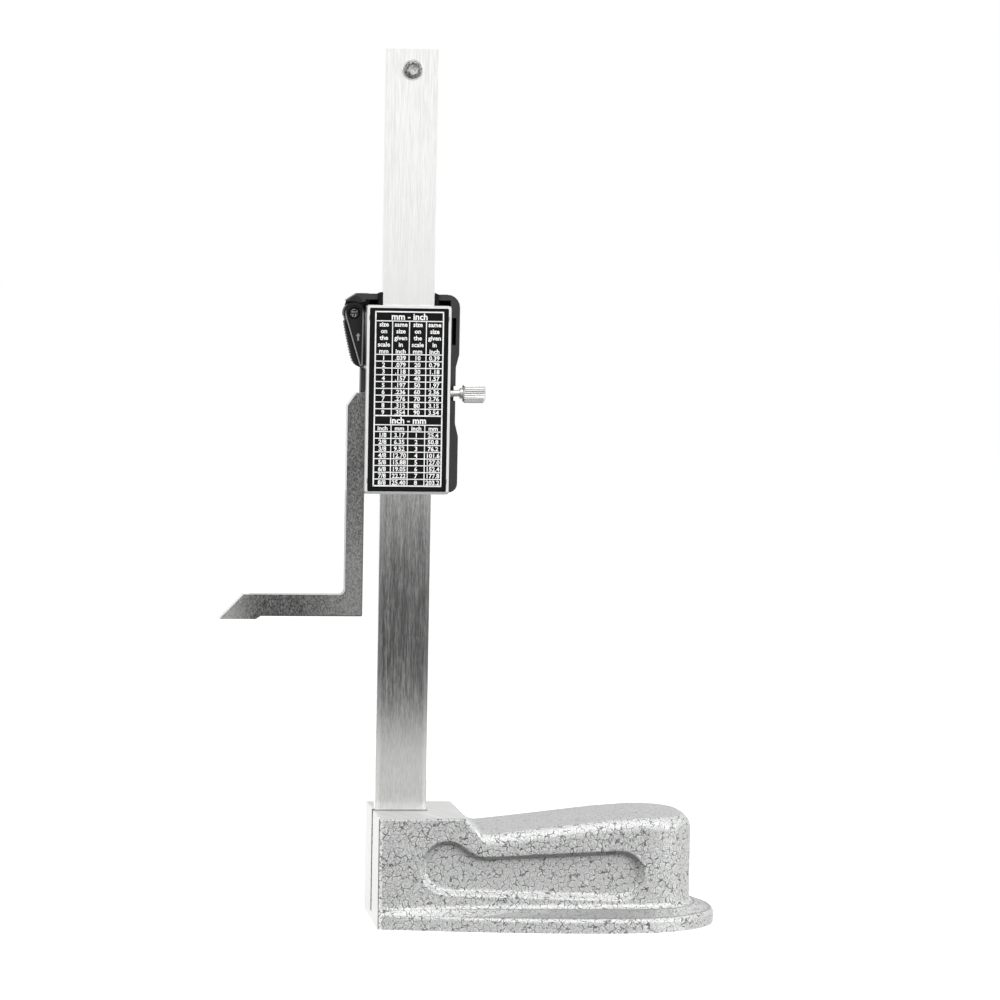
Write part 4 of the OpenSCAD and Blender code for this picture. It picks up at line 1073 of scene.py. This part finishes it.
def card_finish():
    """A card that only reflections show: dim by the foot, pale a little further out, dim again, then
    paler with distance."""
    finish = Finish("card")
    near = finish.place("Y")[0] * -1
    level = sum((change * near.rise(start, end) for start, end, change in CARD_CHANGES), CARD_LEVEL)
    colour = finish.mix(level, BLACK, WHITE)
    return finish.replaced(finish.node("ShaderNodeEmission", {}, {"Color": colour, "Strength": 1.0}))


def stage_sheet(name, low, high, level, material):
    """A flat stage sheet between two corners at one level."""
    corners = [(low[0], low[1], level), (high[0], low[1], level), (high[0], high[1], level),
               (low[0], high[1], level)]
    mesh = bpy.data.meshes.new(name)
    mesh.from_pydata(corners, [], [(0, 1, 2, 3)])
    mesh.materials.append(material)
    sheet = bpy.data.objects.new(name, mesh)
    bpy.context.scene.collection.objects.link(sheet)
    return sheet


def softbox(name, place, aim, size, watts):
    """A square lamp at a place, turned to its aim."""
    lamp = bpy.data.lights.new(name, "AREA")
    lamp.shape = "SQUARE"
    lamp.size = size
    lamp.energy = watts
    carrier = bpy.data.objects.new(name, lamp)
    carrier.location = place
    carrier.rotation_euler = (Vector(aim) - Vector(place)).to_track_quat("-Z", "Y").to_euler()
    bpy.context.scene.collection.objects.link(carrier)


def surround(scene, ambient):
    """A world that shows white and lights the part less."""
    scene.world = bpy.data.worlds.new("surround")
    scene.world.use_nodes = True
    tree = Tree(scene.world.node_tree)
    background = scene.world.node_tree.nodes["Background"]
    tree.feed(background.inputs["Color"], WHITE)
    tree.feed(background.inputs["Strength"],
              tree.node("ShaderNodeMapRange", {}, {"Value": tree.shown(), "To Min": ambient}))


def camera(scene, stage):
    """The line of sight comes from yaw and pitch, and the roll turns its right and up directions."""
    level = Vector((math.cos(stage.yaw), -math.sin(stage.yaw), 0.0))
    onward = Vector((math.sin(stage.yaw), math.cos(stage.yaw), 0.0))
    ahead = math.cos(stage.pitch) * onward - math.sin(stage.pitch) * Vector((0.0, 0.0, 1.0))
    upright = level.cross(ahead)
    right = math.cos(stage.roll) * level + math.sin(stage.roll) * upright
    up = math.cos(stage.roll) * upright - math.sin(stage.roll) * level
    lens = bpy.data.cameras.new("camera")
    lens.sensor_width = SENSOR
    lens.lens = stage.focal * SENSOR / IMAGE_PIXELS
    carrier = bpy.data.objects.new("camera", lens)
    turned = Matrix((right, up, -ahead)).transposed().to_4x4()
    carrier.matrix_world = Matrix.Translation(Vector(stage.target) - stage.distance * ahead) @ turned
    scene.collection.objects.link(carrier)
    scene.camera = carrier


# Operators
BUTTON_WORDS = {"mm_inch_button": "mm/inch", "on_off_button": "ON/OFF", "zero_button": "ZERO"}


class GAUGE_OT_stage(bpy.types.Operator):
    """Camera, pale floor, white surround and soft light"""
    bl_idname = "gauge.stage"
    bl_label = "Stage"

    def execute(self, context):
        stage = context.scene.gauge_stage
        context.scene.view_settings.view_transform = "Standard"
        camera(context.scene, stage)
        surround(context.scene, stage.ambient)
        for name, place, aim, size, setting in SOFTBOXES:
            softbox(name, place, aim, size, getattr(stage, setting))
        stage_sheet("floor", *FLOOR, floor_finish())
        card = stage_sheet("card", *CARD, card_finish())
        for ray in ("camera", "diffuse", "shadow", "transmission"):
            setattr(card, f"visible_{ray}", False)
        return {"FINISHED"}


class GAUGE_OT_base(bpy.types.Operator):
    """Cast base in hammered paint, with its two clamp screws"""
    bl_idname = "gauge.base"
    bl_label = "Base"

    def execute(self, context):
        look = context.scene.gauge_look
        dress("base_casting", hammered_paint(look), turn=38)
        dress("beam_clamp_screws", metal("dark_screw", look.screws, rough=0.38), edge=0.15)
        return {"FINISHED"}


class GAUGE_OT_beam(bpy.types.Operator):
    """Brushed beam, its scale with printed lines and figures, and the stop screw"""
    bl_idname = "gauge.beam"
    bl_label = "Beam and scale"

    def execute(self, context):
        look, marks = context.scene.gauge_look, context.scene.gauge_marks
        dress("beam", beam_steel(look), turn=30)
        dress("scale_strip", scale_board(look))
        dress("scale_face", moulded("scale_film", look.film, rough=0.3, depth=0.003))
        dress("stop_screw", stop_steel(look), edge=0.15)
        dress("stop_washer", metal("bright_screw", look.plating, rough=0.22), edge=0.08)
        level = box_mm("scale_face")[1][1]
        add_piece("scale_print", laid(graduations(marks), DISPLAY_SIDE, level),
                  ink("scale_ink", look.ink), "stand")
        return {"FINISHED"}


class GAUGE_OT_slider(bpy.types.Operator):
    """Slider frame with the scriber arm, the hard tip, gib and screws"""
    bl_idname = "gauge.slider"
    bl_label = "Slider and scriber"

    def execute(self, context):
        look = context.scene.gauge_look
        dress("slider_frame", ground_steel(look), edge=0.3, turn=30)
        dress("scriber_tip", hard_tip(look), turn=20)
        dress("gib_strip", metal("gib_brass", look.brass, rough=0.35, grain=GIB_GRAIN), edge=0.1)
        dress("gib_screws", bpy.data.materials["dark_screw"], edge=0.1)
        dress("case_screws", bpy.data.materials["bright_screw"], edge=0.1)
        return {"FINISHED"}


class GAUGE_OT_chart(bpy.types.Operator):
    """Black printed sheet with a white conversion chart"""
    bl_idname = "gauge.chart"
    bl_label = "Chart"

    def execute(self, context):
        look, marks = context.scene.gauge_look, context.scene.gauge_marks
        dress("chart_label", moulded("printed_sheet", look.sheet, rough=0.34, grain=SHEET_GRAIN,
                                     depth=0.004, gloss=0.12))
        level = box_mm("chart_label")[0][1]
        add_piece("chart_print", laid(chart(marks), BACK_SIDE, level),
                  ink("white_print", look.lettering), "slider")
        return {"FINISHED"}


class GAUGE_OT_housing(bpy.types.Operator):
    """Moulded housing, battery door with its raised arrow and grip, and the guard round the beam"""
    bl_idname = "gauge.housing"
    bl_label = "Housing and door"

    def execute(self, context):
        look, forms = context.scene.gauge_look, context.scene.gauge_forms
        door = door_plastic(look)
        dress("front_housing", housing_plastic(look), edge=0.22, turn=38)
        dress("battery_door", door, edge=0.1, turn=40)
        felt = moulded("black_felt", look.felt, rough=0.8, grain=FELT_GRAIN, depth=0.03, gloss=0.1)
        dress("beam_wiper", felt, edge=0.15)
        dress("door_screw", pivot_steel(look), edge=0.05)
        arrow = prisms([arrow_outline(forms.arrow)], ARROW_DEPTH)
        add_piece("door_arrow", laid(arrow, BACK_SIDE, DOOR_BACK + ARROW_SINK), door, "battery_door")
        add_piece("door_grip", toothed_edge(forms), door, "battery_door")
        return {"FINISHED"}


class GAUGE_OT_display(bpy.types.Operator):
    """Window, display with its digits, and what the housing holds inside"""
    bl_idname = "gauge.display"
    bl_label = "Display"

    def execute(self, context):
        look, marks = context.scene.gauge_look, context.scene.gauge_marks
        dress("display_window", clear_window(look), edge=0.15)
        dress("lcd_panel", lcd_glass(look), edge=0.1)
        dress("lcd_contact", striped_rubber(look))
        dress("sensor_board", circuit_board(look))
        dress("controller_chip", moulded("sealed_chip", look.chip, rough=0.25))
        dress("battery", metal("cell_steel", look.cell, rough=0.2))
        dress("battery_contacts", metal("contact_brass", look.brass, rough=0.3, grain=CONTACT_GRAIN))
        level = box_mm("lcd_panel")[1][1]
        add_piece("lcd_digits", laid(digits(marks), DISPLAY_SIDE, level),
                  ink("lcd_segments", look.segments), "slider")
        return {"FINISHED"}


class GAUGE_OT_buttons(bpy.types.Operator):
    """Button caps, their pad and the words over them"""
    bl_idname = "gauge.buttons"
    bl_label = "Buttons"

    def execute(self, context):
        look, marks = context.scene.gauge_look, context.scene.gauge_marks
        caps = moulded("button_caps", look.caps, rough=0.42)
        lines = []
        for node, word in BUTTON_WORDS.items():
            dress(node, caps, edge=0.2)
            top = box_mm(node)[1][2]
            lines.append((word, -middle_mm(node)[0], top + marks.word_rise, marks.word))
        dress("button_pad", moulded("button_rubber", look.pad, rough=0.6), edge=0.2)
        level = box_mm("front_housing")[1][1]
        add_piece("button_words", laid(words(lines, marks.ink), DISPLAY_SIDE, level),
                  ink("word_ink", look.lettering), "slider")
        return {"FINISHED"}


class GAUGE_OT_lock(bpy.types.Operator):
    """Knurled lock screw with its thread"""
    bl_idname = "gauge.lock"
    bl_label = "Lock screw"

    def execute(self, context):
        chrome = knurled_chrome(context.scene.gauge_look)
        dress("lock_screw", chrome, edge=0.06, turn=26)
        start = box_mm("slider_frame")[1][0] + THREAD_GAP
        add_piece("lock_thread", helix_ridge(start, context.scene.gauge_forms), chrome, "lock_screw")
        return {"FINISHED"}


OPERATORS = (GAUGE_OT_stage, GAUGE_OT_base, GAUGE_OT_beam, GAUGE_OT_slider, GAUGE_OT_chart,
             GAUGE_OT_housing, GAUGE_OT_display, GAUGE_OT_buttons, GAUGE_OT_lock)
SETTINGS = {"gauge_look": GaugeLook, "gauge_forms": GaugeForms, "gauge_marks": GaugeMarks,
            "gauge_stage": GaugeStage}


class GAUGE_PT_panel(bpy.types.Panel):
    """Lists the settings and the steps that dress the gauge"""
    bl_idname = "GAUGE_PT_panel"
    bl_label = "Height gauge"
    bl_space_type = "VIEW_3D"
    bl_region_type = "UI"
    bl_category = "Gauge"

    def draw(self, context):
        for step in OPERATORS:
            self.layout.operator(step.bl_idname)
        for name in SETTINGS:
            group = getattr(context.scene, name)
            for key in group.__annotations__:
                self.layout.prop(group, key)


CLASSES = (*SETTINGS.values(), *OPERATORS, GAUGE_PT_panel)


def register():
    for made in CLASSES:
        bpy.utils.register_class(made)
    for name, group in SETTINGS.items():
        setattr(bpy.types.Scene, name, PointerProperty(type=group))


def unregister():
    for name in SETTINGS:
        delattr(bpy.types.Scene, name)
    for made in reversed(CLASSES):
        bpy.utils.unregister_class(made)


def main():
    register()
    for step in OPERATORS:
        group, name = step.bl_idname.split(".")
        getattr(getattr(bpy.ops, group), name)()


if __name__ == "__main__":
    main()
